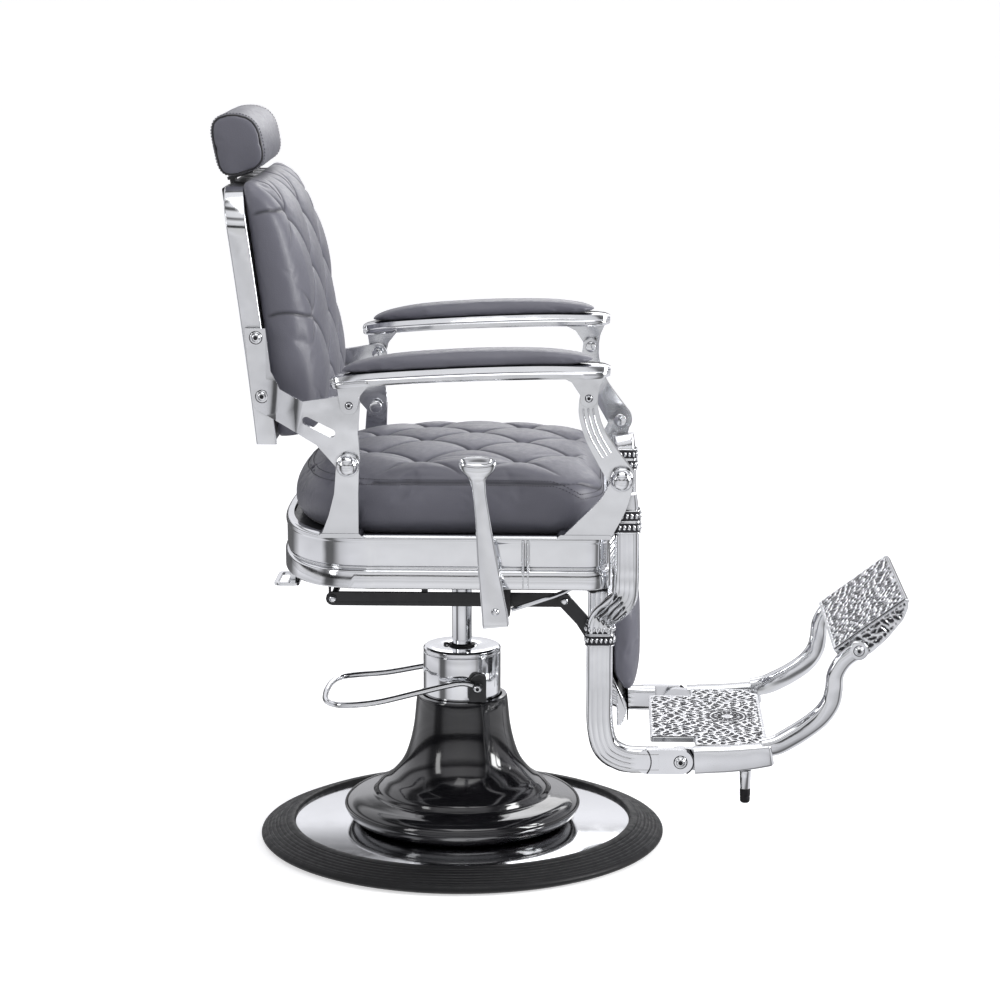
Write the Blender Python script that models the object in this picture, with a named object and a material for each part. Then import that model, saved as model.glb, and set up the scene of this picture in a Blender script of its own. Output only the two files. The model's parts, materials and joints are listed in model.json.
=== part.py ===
"""Hydraulic barber chair with a reclining back, a linked leg rest and a folding footrest.

Metres, +Z up. The origin lies on the floor under the centre of the round base. The sitter faces -Y, so
the sitter's right is -X. Every piece is one object. Moving pieces hang on an empty that stands on their
joint's axis, so their own origins lie on it too.
"""

import math

import bmesh
import bpy
from mathutils import Matrix, Vector

# ---- driving dimensions ----
GAP = 0.0003  # between pieces that touch
RIGHT, LEFT = -1, 1

BASE_RADIUS = 0.330
DISC_RADIUS = 0.2745
DISC_TOP = 0.028
COLLAR_RADIUS = 0.063
COLLAR_TOP = 0.320
PISTON_RADIUS = 0.0160

# Pivots as (y, z), seen from the side.
BACK_PIVOT = (0.158, 0.669)
LEG_PIVOT = (-0.256, 0.649)
ARM_REAR = (0.155, 0.760)
ARM_FRONT = (-0.206, 0.773)
BAR_FRONT = (-0.169, 0.4335)
BAR_REAR = (0.1945, 0.4335)
FOOT_HINGE = (-0.352, 0.1835)
FLIP_HINGE = (-0.628, 0.360)
PUMP_PIVOT = (-0.029, 0.268)
LEVER_PIVOT = (-0.066, 0.447)
LOCK_PIVOT = (0.3565, 1.048)

# Layers across the chair, as distances from the middle plane.
OUTER_LAYER = (0.2875, 0.2995)  # horns and arm lugs
INNER_LAYER = (0.2655, 0.2868)  # brackets and cranks
BAR_LAYER = (0.1650, 0.1708)
LINK_LAYER = (0.1713, 0.1775)
LEG_LAYER = (0.178, 0.208)
HANGER_LAYER = (0.085, 0.090)

SEAT_HALF = 0.280
SEAT_FRONT = -0.240
SEAT_REAR = 0.279
APRON_BOTTOM = 0.473
APRON_TOP = 0.557
APRON_WALL = 0.014
PAN_BOTTOM = 0.544
PAN_TOP = 0.552
CUSHION_HALF = 0.257
CUSHION_FRONT = -0.229
CUSHION_REAR = 0.268

BACK_HALF = 0.241
BACK_TOP = 1.079
BACK_BOTTOM = 0.690
BAND_DEPTH = 0.031
BAND_THICK = 0.009
POST_SPOT = (0.362, 1.085)
POST_SLOPE = math.radians(7.4)  # the headrest post leans back with the frame

ROUND_STEPS = 36
PIN_STEPS = 12

COLOURS = {
    "chrome": ((0.80, 0.81, 0.83), 0.08, 1.0),
    "polished_casting": ((0.78, 0.79, 0.81), 0.12, 1.0),
    "black_gloss": ((0.02, 0.02, 0.022), 0.10, 0.0),
    "black_steel": ((0.03, 0.03, 0.035), 0.35, 0.6),
    "rubber": ((0.03, 0.03, 0.03), 0.55, 0.0),
    "vinyl": ((0.17, 0.165, 0.19), 0.45, 0.0),
}

# Each body: the empty's position on its joint's axis, and the body that carries it.
BODIES = {
    "base": ((0, 0, 0), None),
    "pump": ((0, *PUMP_PIVOT), "base"),
    "piston": ((0, 0, COLLAR_TOP), "base"),
    "seat": ((0, 0, PAN_BOTTOM), "piston"),
    "lever": ((-0.31, *LEVER_PIVOT), "seat"),
    "back": ((0, *BACK_PIVOT), "seat"),
    "headrest": ((0, *POST_SPOT), "back"),
    "headrest_lock": ((-0.0415, *LOCK_PIVOT), "back"),
    "arm_right": ((-0.294, *ARM_REAR), "back"),
    "arm_left": ((0.294, *ARM_REAR), "back"),
    "leg": ((0, *LEG_PIVOT), "seat"),
    "pull_bars": ((0, *BAR_FRONT), "leg"),
    "footrest": ((0, *FOOT_HINGE), "leg"),
    "flip": ((0, *FLIP_HINGE), "footrest"),
}


# ---- scene, materials and bodies ----
def clear_scene():
    for obj in list(bpy.data.objects):
        bpy.data.objects.remove(obj, do_unlink=True)


def make_material(name):
    colour, roughness, metallic = COLOURS[name]
    material = bpy.data.materials.new(name)
    material.use_nodes = True
    shader = material.node_tree.nodes["Principled BSDF"]
    shader.inputs["Base Color"].default_value = (*colour, 1)
    shader.inputs["Roughness"].default_value = roughness
    shader.inputs["Metallic"].default_value = metallic
    return material


def make_empties():
    empties = {}
    for name, (place, parent) in BODIES.items():
        empty = bpy.data.objects.new("axis_" + name, None)
        bpy.context.collection.objects.link(empty)
        empty.empty_display_size = 0.03
        if parent:
            empty.parent = empties[parent]
            empty.location = Vector(place) - Vector(BODIES[parent][0])
        empties[name] = empty
    return empties


def add_part(name, bm, material, body, bevel=0.0, cuts=(), adds=()):
    """Turns a mesh drawn in world coordinates into an object whose origin is its body's joint."""
    origin = Vector(BODIES[body][0])
    obj = mesh_object(name, bm, origin)
    obj.parent = EMPTIES[body]
    obj.data.materials.append(MATERIALS[material])
    if bevel:
        modifier = obj.modifiers.new("edges", "BEVEL")
        modifier.width = bevel
        modifier.segments = 1
        modifier.limit_method = "ANGLE"
        modifier.angle_limit = math.radians(50)
    for number, extra in enumerate(adds):
        boolean(obj, helper(f"{name}_add{number}", extra, origin, body), "UNION")
    for number, extra in enumerate(cuts):
        boolean(obj, helper(f"{name}_cut{number}", extra, origin, body), "DIFFERENCE")


def mesh_object(name, bm, origin):
    bmesh.ops.recalc_face_normals(bm, faces=bm.faces)
    bmesh.ops.translate(bm, verts=bm.verts, vec=-origin)
    mesh = bpy.data.meshes.new(name)
    bm.to_mesh(mesh)
    bm.free()
    mesh.shade_smooth()
    mesh.set_sharp_from_angle(angle=math.radians(35))
    obj = bpy.data.objects.new(name, mesh)
    bpy.context.collection.objects.link(obj)
    return obj


def helper(name, bm, origin, body):
    obj = mesh_object(name, bm, origin)
    obj.parent = EMPTIES[body]
    obj.hide_render = True
    obj.display_type = "WIRE"
    return obj


def boolean(obj, other, operation):
    modifier = obj.modifiers.new(operation.lower(), "BOOLEAN")
    modifier.operation = operation
    modifier.object = other


# ---- outlines ----
def arc(centre, radius, start, end, steps):
    """Points on an arc, angles in degrees."""
    angles = [math.radians(start + (end - start) * i / steps) for i in range(steps + 1)]
    return [(centre[0] + radius * math.cos(a), centre[1] + radius * math.sin(a)) for a in angles]


def smooth(points, steps):
    """A Catmull-Rom curve through points of any dimension."""
    out = []
    last = len(points) - 1
    for i in range(last):
        p0, p1 = Vector(points[max(i - 1, 0)]), Vector(points[i])
        p2, p3 = Vector(points[i + 1]), Vector(points[min(i + 2, last)])
        for k in range(steps):
            t = k / steps
            bend = (p2 - p0) * t + (2 * p0 - 5 * p1 + 4 * p2 - p3) * t * t
            out.append(tuple(p1 + 0.5 * (bend + (3 * p1 - p0 - 3 * p2 + p3) * t**3)))
    return [*out, tuple(points[-1])]


def band(centres, halves, end_steps=6):
    """The outline of a band of varying half width along a line of centres, with round ends."""
    count = len(centres)
    spots = [Vector(c) for c in centres]
    left, right = [], []
    for i, spot in enumerate(spots):
        along = (spots[min(i + 1, count - 1)] - spots[max(i - 1, 0)]).normalized()
        side = Vector((-along.y, along.x)) * halves[i]
        left.append(tuple(spot + side))
        right.append(tuple(spot - side))
    def cap(index, before):
        along = (spots[index] - spots[before]).normalized()
        side = Vector((-along.y, along.x))
        turns = [math.pi * k / end_steps for k in range(1, end_steps)]
        reach = halves[index]
        return [tuple(spots[index] + side * math.cos(a) * reach + along * math.sin(a) * reach) for a in turns]
    return left + cap(-1, -2) + right[::-1] + cap(0, 1)


def round_corners(points, steps=4):
    """Rounds each (u, v, radius) corner of a closed outline."""
    out = []
    count = len(points)
    for i, (u, v, radius) in enumerate(points):
        here = Vector((u, v))
        before = (Vector(points[i - 1][:2]) - here)
        after = (Vector(points[(i + 1) % count][:2]) - here)
        reach = min(radius, 0.45 * before.length, 0.45 * after.length)
        if reach <= 0:
            out.append((u, v))
            continue
        first = here + before.normalized() * reach
        second = here + after.normalized() * reach
        for k in range(steps + 1):
            t = k / steps
            out.append(tuple(first * (1 - t) ** 2 + here * 2 * t * (1 - t) + second * t * t))
    return out


def seat_plan(half, front, rear, depth, corner, steps=14):
    """Plan of the seat: square front corners, a rear that rounds off as a superellipse."""
    fullness = 2 / 2.6
    points = arc((-half + corner, front + corner), corner, 180, 270, 4)
    points += arc((half - corner, front + corner), corner, 270, 360, 4)
    for i in range(steps + 1):
        angle = math.pi * i / steps
        across = math.copysign(abs(math.cos(angle)) ** fullness, math.cos(angle))
        points.append((half * across, rear - depth + depth * math.sin(angle) ** fullness))
    return points


# ---- solids ----
def prism(outline, low, high, side=1):
    """A (y, z) outline drawn out across the chair, from low to high on the given side."""
    bm = bmesh.new()
    face = bm.faces.new([bm.verts.new((side * low, y, z)) for y, z in outline])
    made = bmesh.ops.extrude_face_region(bm, geom=[face])["geom"]
    moved = [v for v in made if isinstance(v, bmesh.types.BMVert)]
    bmesh.ops.translate(bm, verts=moved, vec=(side * (high - low), 0, 0))
    return bm


def flat(outline, low, high):
    """A plan outline drawn up from low to high."""
    bm = bmesh.new()
    face = bm.faces.new([bm.verts.new((x, y, low)) for x, y in outline])
    made = bmesh.ops.extrude_face_region(bm, geom=[face])["geom"]
    moved = [v for v in made if isinstance(v, bmesh.types.BMVert)]
    bmesh.ops.translate(bm, verts=moved, vec=(0, 0, high - low))
    return bm


def box(low, high):
    bm = bmesh.new()
    centre = (Vector(low) + Vector(high)) / 2
    size = Vector(high) - Vector(low)
    matrix = Matrix.Translation(centre) @ Matrix.Diagonal((*size, 1))
    bmesh.ops.create_cube(bm, size=1, matrix=matrix)
    return bm


def loft(loops, closed=False):
    """Skins matching loops of points; an open stack gets flat ends."""
    bm = bmesh.new()
    rings = [[bm.verts.new(p) for p in loop] for loop in loops]
    count = len(rings[0])
    pairs = list(zip(rings, rings[1:] + rings[:1])) if closed else list(zip(rings, rings[1:]))
    for first, second in pairs:
        for i in range(count):
            j = (i + 1) % count
            bm.faces.new((first[i], first[j], second[j], second[i]))
    if not closed:
        bm.faces.new(rings[0])
        bm.faces.new(rings[-1][::-1])
    return bm


def lathe(profile, steps=ROUND_STEPS, matrix=None):
    """Turns a closed (radius, z) profile, or one that starts and ends on the axis, about Z."""
    bm = bmesh.new()
    verts = [bm.verts.new((r, 0, z)) for r, z in profile]
    ends_on_axis = profile[0][0] == 0 and profile[-1][0] == 0
    pairs = list(zip(verts, verts[1:]))
    if not ends_on_axis:
        pairs.append((verts[-1], verts[0]))
    edges = [bm.edges.new(pair) for pair in pairs]
    bmesh.ops.spin(
        bm, geom=verts + edges, cent=(0, 0, 0), axis=(0, 0, 1), angle=math.tau, steps=steps, use_merge=True
    )
    bmesh.ops.remove_doubles(bm, verts=bm.verts, dist=1e-6)
    if matrix:
        bmesh.ops.transform(bm, verts=bm.verts, matrix=matrix)
    return bm


def lathe_x(profile, side, spot, steps=PIN_STEPS):
    """A turned piece whose axis runs across the chair at the (y, z) spot; profile is (radius, distance)."""
    turn = Matrix.Rotation(side * math.pi / 2, 4, "Y")
    return lathe(profile, steps, Matrix.Translation((0, *spot)) @ turn)


def pin(low, high, spot, radius, side, steps=PIN_STEPS):
    return lathe_x([(0, low), (radius, low), (radius, high), (0, high)], side, spot, steps)


def tube(points, radius):
    """A round rod along smooth points, made as a bevelled curve."""
    curve = bpy.data.curves.new("rod", "CURVE")
    curve.dimensions = "3D"
    curve.bevel_depth = radius
    curve.bevel_resolution = 2
    curve.use_fill_caps = True
    spline = curve.splines.new("POLY")
    spline.points.add(len(points) - 1)
    for spot, point in zip(spline.points, points):
        spot.co = (*point, 1)
    obj = bpy.data.objects.new("rod", curve)
    bpy.context.collection.objects.link(obj)
    bpy.context.view_layer.update()
    bm = bmesh.new()
    bm.from_mesh(obj.evaluated_get(bpy.context.evaluated_depsgraph_get()).to_mesh())
    bmesh.ops.remove_doubles(bm, verts=bm.verts, dist=1e-6)
    bpy.data.objects.remove(obj, do_unlink=True)
    return bm


def swept_bar(stations, side, steps=3, corner=0.32):
    """A bar with a chamfered oblong section along stations of (x, y, z, width across, height)."""
    path = smooth(stations, steps)
    loops = []
    for i, (x, y, z, width, height) in enumerate(path):
        before, after = path[max(i - 1, 0)], path[min(i + 1, len(path) - 1)]
        along = Vector((after[1] - before[1], after[2] - before[2])).normalized()
        up = Vector((-along.y, along.x))
        cut = corner * min(width, height)
        half_w, half_h = width / 2, height / 2
        section = [
            (-half_w, -half_h + cut), (-half_w + cut, -half_h), (half_w - cut, -half_h), (half_w, -half_h + cut),
            (half_w, half_h - cut), (half_w - cut, half_h), (-half_w + cut, half_h), (-half_w, half_h - cut),
        ]
        loops.append([(side * (x + u), y + up.x * v, z + up.y * v) for u, v in section])
    return loft(loops)


def padded(stations, section):
    """A cushion as sections stacked along it: each station is (rear y, z, front y, z, half width)."""
    loops = []
    for rear_y, rear_z, front_y, front_z, half in stations:
        rear, front = Vector((rear_y, rear_z)), Vector((front_y, front_z))
        loops.append([(u * half, *(rear.lerp(front, v))) for u, v in section])
    return loft(loops)


CROWNED = ((-0.97, 0.0), (0.97, 0.0), (1.0, 0.12), (1.0, 0.58), (0.93, 0.80), (0.55, 0.96),
           (0.0, 1.0), (-0.55, 0.96), (-0.93, 0.80), (-1.0, 0.58), (-1.0, 0.12))


def band_front(z):
    """The y of the back band's front edge: it leans back, a little more towards the top."""
    height = z - 0.688
    return 0.271 + 0.105 * height + 0.055 * height * height


# ---- base, pump and piston ----
def make_base():
    boss = 0.100
    add_part("base_plate", lathe([
        (0, 0), (boss, 0), (boss, 0.014), (DISC_RADIUS, 0.014), (DISC_RADIUS, DISC_TOP - 0.001),
        (DISC_RADIUS - 0.001, DISC_TOP), (0, DISC_TOP)], 48), "chrome", "base")
    inner = DISC_RADIUS + GAP
    add_part("base_rubber_rim", lathe([
        (inner, 0), (BASE_RADIUS - 0.014, 0), (BASE_RADIUS - 0.003, 0.005), (BASE_RADIUS, 0.010),
        (BASE_RADIUS - 0.003, 0.0145), (0.306, 0.0235), (0.281, 0.0335), (inner, 0.0335)], 48),
        "rubber", "base")
    foot = DISC_TOP + GAP
    add_part("pedestal_bell", lathe([
        (0.168, foot), (0.180, 0.036), (0.190, 0.047), (0.1935, 0.056), (0.189, 0.065), (0.176, 0.071),
        (0.144, 0.076), (0.1405, 0.083), (0.134, 0.091), (0.116, 0.104), (0.098, 0.126), (0.087, 0.152),
        (0.079, 0.187), (0.075, 0.225), (0.073, 0.238), (0.0655, 0.239), (0.0655, 0.200), (0.072, 0.165),
        (0.090, 0.120), (0.122, 0.088), (0.128, 0.062), (0.158, 0.045), (0.158, foot)]), "black_gloss", "base")
    bore = PISTON_RADIUS + 0.0010
    low, high = foot, 0.2355
    add_part("hydraulic_cylinder", lathe([
        (0, low), (0.046, low), (0.046, high), (bore, high), (bore, 0.050), (0, 0.050)], 32),
        "black_steel", "base")
    collar_low = 0.2365
    outer = COLLAR_RADIUS
    add_part("cylinder_collar", lathe([
        (bore, collar_low), (outer, collar_low), (outer, COLLAR_TOP - 0.004),
        (outer - 0.004, COLLAR_TOP), (0.0195, COLLAR_TOP), (0.0180, COLLAR_TOP - 0.002),
        (bore, COLLAR_TOP - 0.002)]), "chrome", "base")
    plug = Matrix.Translation((0.001, 0.0255, COLLAR_TOP + GAP))
    add_part("oil_fill_plug", lathe([(0, 0), (0.0045, 0), (0.0045, 0.002), (0.0030, 0.003), (0, 0.003)], 12, plug),
             "black_steel", "base")
    for side, word in ((RIGHT, "right"), (LEFT, "left")):
        y, z = PUMP_PIVOT
        plate = prism(round_corners([
            (y - 0.013, z - 0.026, 0.002), (y + 0.014, z - 0.026, 0.002), (y + 0.014, z + 0.008, 0.008),
            (y + 0.004, z + 0.018, 0.008), (y - 0.013, z + 0.018, 0.008)]), outer - 0.006, 0.0720, side)
        bolt = lathe_x([(0, 0.070), (0.0040, 0.070), (0.0040, 0.0825), (0.0085, 0.0825), (0.0085, 0.086),
                        (0.0065, 0.0885), (0, 0.0885)], side, PUMP_PIVOT)
        hollow = lathe([(0, 0.20), (outer + GAP, 0.20), (outer + GAP, 0.33), (0, 0.33)])
        add_part(f"pump_bracket_{word}", plate, "black_steel", "base", adds=[bolt], cuts=[hollow])


def make_pump_lever():
    y, z = PUMP_PIVOT
    eye_x = 0.0775
    half = [(eye_x, y, z), (0.0785, -0.006, 0.2745), (0.083, 0.022, 0.271), (0.090, 0.070, 0.2605),
            (0.098, 0.130, 0.2475), (0.100, 0.178, 0.2425), (0.088, 0.205, 0.2415), (0.055, 0.2185, 0.2405),
            (0, 0.2225, 0.2395)]
    curve = smooth(half, 4)
    ring = curve + [(-px, py, pz) for px, py, pz in curve[-2::-1]]
    eyes = [pin(0.0728, 0.0822, PUMP_PIVOT, 0.0082, side) for side in (RIGHT, LEFT)]
    bores = [pin(0.069, 0.086, PUMP_PIVOT, 0.0045, side) for side in (RIGHT, LEFT)]
    add_part("pump_lever", tube(ring, 0.0046), "chrome", "pump", adds=eyes, cuts=bores)


def make_piston():
    radius, low, high = PISTON_RADIUS, 0.110, 0.5380
    add_part("piston_rod", lathe([
        (0, low), (radius, low), (radius, high - 0.001), (radius - 0.001, high), (0, high)], 32),
        "chrome", "piston")


# ---- seat ----
def make_seat_body():
    bore = PISTON_RADIUS + 0.0006
    top = PAN_BOTTOM - GAP
    socket = lathe([
        (bore, 0.452), (0.029, 0.452), (0.031, 0.455), (0.031, 0.505), (0.045, 0.528), (0.092, 0.536),
        (0.092, top), (0, top), (0, 0.540), (bore, 0.540)], 32)
    add_part("seat_socket", socket, "black_steel", "seat")
    inside = APRON_WALL + 0.0005
    pan = seat_plan(SEAT_HALF - inside, SEAT_FRONT + inside, SEAT_REAR - inside, 0.155 - inside, 0.022)
    add_part("seat_pan", flat(pan, PAN_BOTTOM, PAN_TOP), "black_steel", "seat")
    section = [(0.003, APRON_BOTTOM), (0.0, APRON_BOTTOM + 0.003), (0.0, 0.4985), (0.0035, 0.505),
               (0.0035, APRON_TOP - 0.008), (0.0075, APRON_TOP), (APRON_WALL, APRON_TOP),
               (APRON_WALL, APRON_BOTTOM)]
    loops = []
    for inset, height in section:
        plan = seat_plan(SEAT_HALF - inset, SEAT_FRONT + inset, SEAT_REAR - inset, 0.155 - inset, 0.036 - inset)
        loops.append([(x, y, height) for x, y in plan])
    add_part("seat_apron", loft(loops, closed=True), "polished_casting", "seat")
    loops = []
    for inset, rear, height in ((0.014, 0.020, PAN_TOP + GAP), (0.0060, 0.008, APRON_TOP + 0.003),
                                (0.0, 0.0, 0.575), (0.0, 0.002, 0.598), (0.0, 0.009, 0.622),
                                (0.008, 0.026, 0.640), (0.030, 0.052, 0.651), (0.070, 0.092, 0.655)):
        plan = seat_plan(CUSHION_HALF - inset, CUSHION_FRONT + inset, CUSHION_REAR - rear, 0.165 - rear * 0.8,
                         0.075 - inset * 0.6)
        loops.append([(x, y, height) for x, y in plan])
    add_part("seat_cushion", loft(loops), "vinyl", "seat")


def make_horns():
    foot = APRON_TOP + GAP
    bolt_hole = 0.0064
    for side, word in ((RIGHT, "right"), (LEFT, "left")):
        upright = [(0.200, foot), (0.187, 0.592), (0.1785, 0.625)]
        upright += [*arc(BACK_PIVOT, 0.0175, -10, 180, 8), (0.142, 0.625), (0.142, foot)]
        base = round_corners([(0.199, foot, 0), (0.188, 0.590, 0.004), (0.143, 0.596, 0.004), (0.143, foot, 0)])
        add_part(f"rear_horn_{word}", prism(upright, *OUTER_LAYER, side), "polished_casting", "seat",
                 adds=[prism(base, 0.2580, OUTER_LAYER[0] + 0.004, side)],
                 cuts=[pin(0.27, 0.31, BACK_PIVOT, bolt_hole, side)])
        sweep = smooth([(-0.163, foot), (-0.198, 0.5925), (-0.224, 0.619), (-0.2385, 0.6445)], 3)
        sweep += arc(LEG_PIVOT, 0.0180, 10, 200, 8)
        sweep += smooth([(-0.2715, 0.630), (-0.262, 0.600), (-0.2395, foot)], 3)
        base = round_corners([(-0.166, foot, 0), (-0.198, 0.5910, 0.004), (-0.220, 0.607, 0.004),
                              (-0.2365, 0.600, 0.004), (-0.2365, foot, 0)])
        add_part(f"front_horn_{word}", prism(sweep, *OUTER_LAYER, side), "polished_casting", "seat",
                 adds=[prism(base, 0.2625, OUTER_LAYER[0] + 0.004, side)],
                 cuts=[pin(0.27, 0.31, LEG_PIVOT, bolt_hole, side)])


def make_knobs():
    """An acorn knob outside, its bolt through both layers, and the bolt's head inside."""
    outside, inside = OUTER_LAYER[1] + GAP, INNER_LAYER[0] - GAP
    profile = [(0, inside - 0.0058), (0.0095, inside - 0.0058), (0.0105, inside - 0.0045), (0.0105, inside),
               (0.0058, inside), (0.0058, outside), (0.0175, outside), (0.0175, outside + 0.0025),
               (0.0155, outside + 0.0035), (0.0160, outside + 0.008), (0.0140, outside + 0.013),
               (0.0090, outside + 0.0165), (0, outside + 0.0180)]
    for side, word in ((RIGHT, "right"), (LEFT, "left")):
        for end, spot in (("rear", BACK_PIVOT), ("front", LEG_PIVOT)):
            add_part(f"pivot_knob_{end}_{word}", lathe_x(profile, side, spot, 16), "chrome", "seat")


def make_underseat():
    top = PAN_BOTTOM - GAP
    # the cross rod travels forward and down inside this window as the leg rest rises
    window = round_corners([(0.060, 0.4100, 0.001), (0.2045, 0.4100, 0.001), (0.2045, 0.4435, 0.001),
                            (0.060, 0.4435, 0.001)])
    for side, word in ((RIGHT, "right"), (LEFT, "left")):
        plate = round_corners([(0.050, top, 0), (0.2085, top, 0), (0.2085, 0.4060, 0.004), (0.050, 0.4060, 0.004)])
        add_part(f"slide_hanger_{word}", prism(plate, *HANGER_LAYER, side), "black_steel", "seat",
                 cuts=[prism(window, HANGER_LAYER[0] - 0.01, HANGER_LAYER[1] + 0.01, side)])
    y, z = LEVER_PIVOT
    block = round_corners([(y - 0.020, top, 0), (y + 0.020, top, 0), (y + 0.020, z - 0.027, 0.006),
                           (y - 0.020, z - 0.027, 0.006)])
    add_part("lock_housing", prism(block, 0.195, 0.235, RIGHT), "black_steel", "seat",
             cuts=[pin(0.180, 0.250, LEVER_PIVOT, 0.0066, RIGHT)])
    front = y - 0.022
    route = smooth([(-0.222, front, z - 0.0175), (-0.222, front - 0.035, z - 0.0055),
                    (-0.222, front - 0.078, z + 0.0100), (-0.222, front - 0.096, z + 0.0220),
                    (-0.222, front - 0.100, z + 0.0400), (-0.222, front - 0.100, top)], 3)
    add_part("lever_stay", tube(route, 0.0035), "chrome", "seat")
    low, high = 0.4475, 0.4525
    ring = flat(round_corners([(-0.145, 0.250, 0.008), (-0.055, 0.250, 0.008), (-0.055, 0.290, 0.012),
                               (-0.145, 0.290, 0.012)]), low, high)
    hole = flat(round_corners([(-0.137, 0.269, 0.004), (-0.063, 0.269, 0.004), (-0.063, 0.283, 0.006),
                               (-0.137, 0.283, 0.006)]), low - 0.01, high + 0.01)
    tab = box((-0.120, 0.2575, low + 0.001), (-0.080, 0.2665, APRON_BOTTOM - GAP))
    add_part("towel_loop", ring, "chrome", "seat", adds=[tab], cuts=[hole])


def make_recline_lever():
    y, z = LEVER_PIVOT
    shank = [(0.310, -0.0675, 0.4255, 0.012, 0.0400), (0.310, -0.0635, 0.455, 0.012, 0.0385),
             (0.310, -0.0545, 0.520, 0.012, 0.0310), (0.310, -0.0465, 0.585, 0.012, 0.0230),
             (0.310, -0.0410, 0.630, 0.012, 0.0165), (0.311, -0.0390, 0.650, 0.013, 0.0190),
             (0.312, -0.0385, 0.668, 0.015, 0.0330), (0.312, -0.0385, 0.680, 0.014, 0.0420),
             (0.312, -0.0385, 0.6835, 0.010, 0.0400)]
    hub = pin(0.3050, 0.3200, LEVER_PIVOT, 0.0130, RIGHT, 20)
    add_part("recline_lever", swept_bar(shank, RIGHT, 3, 0.25), "polished_casting", "lever",
             adds=[hub], cuts=[pin(0.29, 0.33, LEVER_PIVOT, 0.0066, RIGHT)])
    add_part("lever_shaft", lathe_x([
        (0, 0.188), (0.0060, 0.188), (0.0060, 0.3203), (0.0090, 0.3203), (0.0090, 0.3225), (0.0070, 0.3245),
        (0, 0.3245)], RIGHT, LEVER_PIVOT), "chrome", "lever")


# ---- back, headrest and arms ----
def back_arch(inset):
    """Front view of the band: up one side, over the top and down the other, as (x, z, out x, out z)."""
    half, top, corner = BACK_HALF - inset, BACK_TOP - inset, 0.060 - inset
    path = [(half, BACK_BOTTOM + (top - corner - BACK_BOTTOM) * i / 6, 1, 0) for i in range(6)]
    for i in range(9):
        angle = math.pi / 2 * i / 8
        path.append((half - corner + corner * math.cos(angle), top - corner + corner * math.sin(angle),
                     math.cos(angle), math.sin(angle)))
    return path + [(-x, z, -nx, nz) for x, z, nx, nz in path[::-1]]


def make_back():
    loops = []
    for (x, z, _, _), (ix, iz, _, _) in zip(back_arch(0), back_arch(BAND_THICK)):
        outer, inner = band_front(z), band_front(iz)
        loops.append([(x, outer, z), (x, outer + BAND_DEPTH, z), (ix, inner + BAND_DEPTH, iz), (ix, inner, iz)])
    add_part("back_frame", loft(loops), "polished_casting", "back")
    inset = BAND_THICK + 0.0006
    edge = back_arch(inset)
    front = [(x, band_front(z) + 0.002, z) for x, z, _, _ in edge]
    rear = [(x, band_front(z) + 0.012, z) for x, z, _, _ in edge]
    add_part("back_panel", strip_panel(front, rear), "vinyl", "back")
    stations = []
    for z, front_y, front_z, half in ((0.696, 0.226, 0.699, 0.208), (0.704, 0.203, 0.716, 0.221),
                                      (0.765, 0.193, 0.768, 0.225), (0.850, 0.204, 0.845, 0.225),
                                      (0.930, 0.218, 0.930, 0.225), (1.020, 0.246, 1.022, 0.224),
                                      (1.064, 0.272, 1.061, 0.222), (1.080, 0.286, 1.078, 0.215),
                                      (1.088, 0.303, 1.089, 0.203)):
        stations.append((band_front(z) - GAP * 2, z, front_y, front_z, half))
    add_part("back_cushion", padded(stations, CROWNED), "vinyl", "back")


def strip_panel(front, rear):
    """A board between two matching arches: each pair of opposite points is joined straight across."""
    half = len(front) // 2
    loops = []
    for i in range(half):
        j = len(front) - 1 - i
        loops.append([front[i], rear[i], rear[j], front[j]])
    return loft(loops)


def make_brackets():
    """A cast plate from the band's side out to the pivot's layer, with an oval slot."""
    tab_low, tab_high = BACK_HALF + 0.0005, BACK_HALF + 0.0115
    shift = INNER_LAYER[1] - tab_high
    outline = [(0.317, 0.870), (0.285, 0.870), (0.2775, 0.805), (0.263, 0.779), (0.226, 0.764), (0.190, 0.769)]
    outline += arc(ARM_REAR, 0.0155, 70, 190, 6)
    outline += [(0.143, 0.715), (0.1405, 0.685)]
    outline += arc(BACK_PIVOT, 0.0175, 180, 325, 8)
    outline += [(0.206, 0.6975), (0.236, 0.7155), (0.272, 0.7305), (0.300, 0.745), (0.3065, 0.757)]
    slot = band([(0.221, 0.7345), (0.183, 0.7155)], [0.0062, 0.0062])
    for side, word in ((RIGHT, "right"), (LEFT, "left")):
        bm = prism(outline, tab_low, tab_high, side)
        bmesh.ops.triangulate(bm, faces=[f for f in bm.faces if len(f.verts) > 4])
        for y in (0.225, 0.240, 0.255, 0.270, 0.285):
            geometry = [*bm.verts, *bm.edges, *bm.faces]
            bmesh.ops.bisect_plane(bm, geom=geometry, plane_co=(0, y, 0), plane_no=(0, 1, 0), dist=1e-7)
        for vert in bm.verts:
            share = min(max((0.285 - vert.co.y) / 0.060, 0), 1)
            vert.co.x += side * shift * share * share * (3 - 2 * share)
        bmesh.ops.triangulate(bm, faces=bm.faces)
        add_part(f"back_bracket_{word}", bm, "polished_casting", "back",
                 cuts=[prism(slot, 0.22, 0.30, side), pin(0.26, 0.31, BACK_PIVOT, 0.0064, side),
                       pin(0.26, 0.31, ARM_REAR, 0.0050, side)])


def leaning(bm, spot, slope=POST_SLOPE):
    """Leans a piece drawn upright or level back about a (y, z) spot."""
    turn = Matrix.Translation((0, *spot)) @ Matrix.Rotation(-slope, 4, "X")
    bmesh.ops.transform(bm, verts=bm.verts, matrix=turn @ Matrix.Translation((0, -spot[0], -spot[1])))
    return bm


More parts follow.
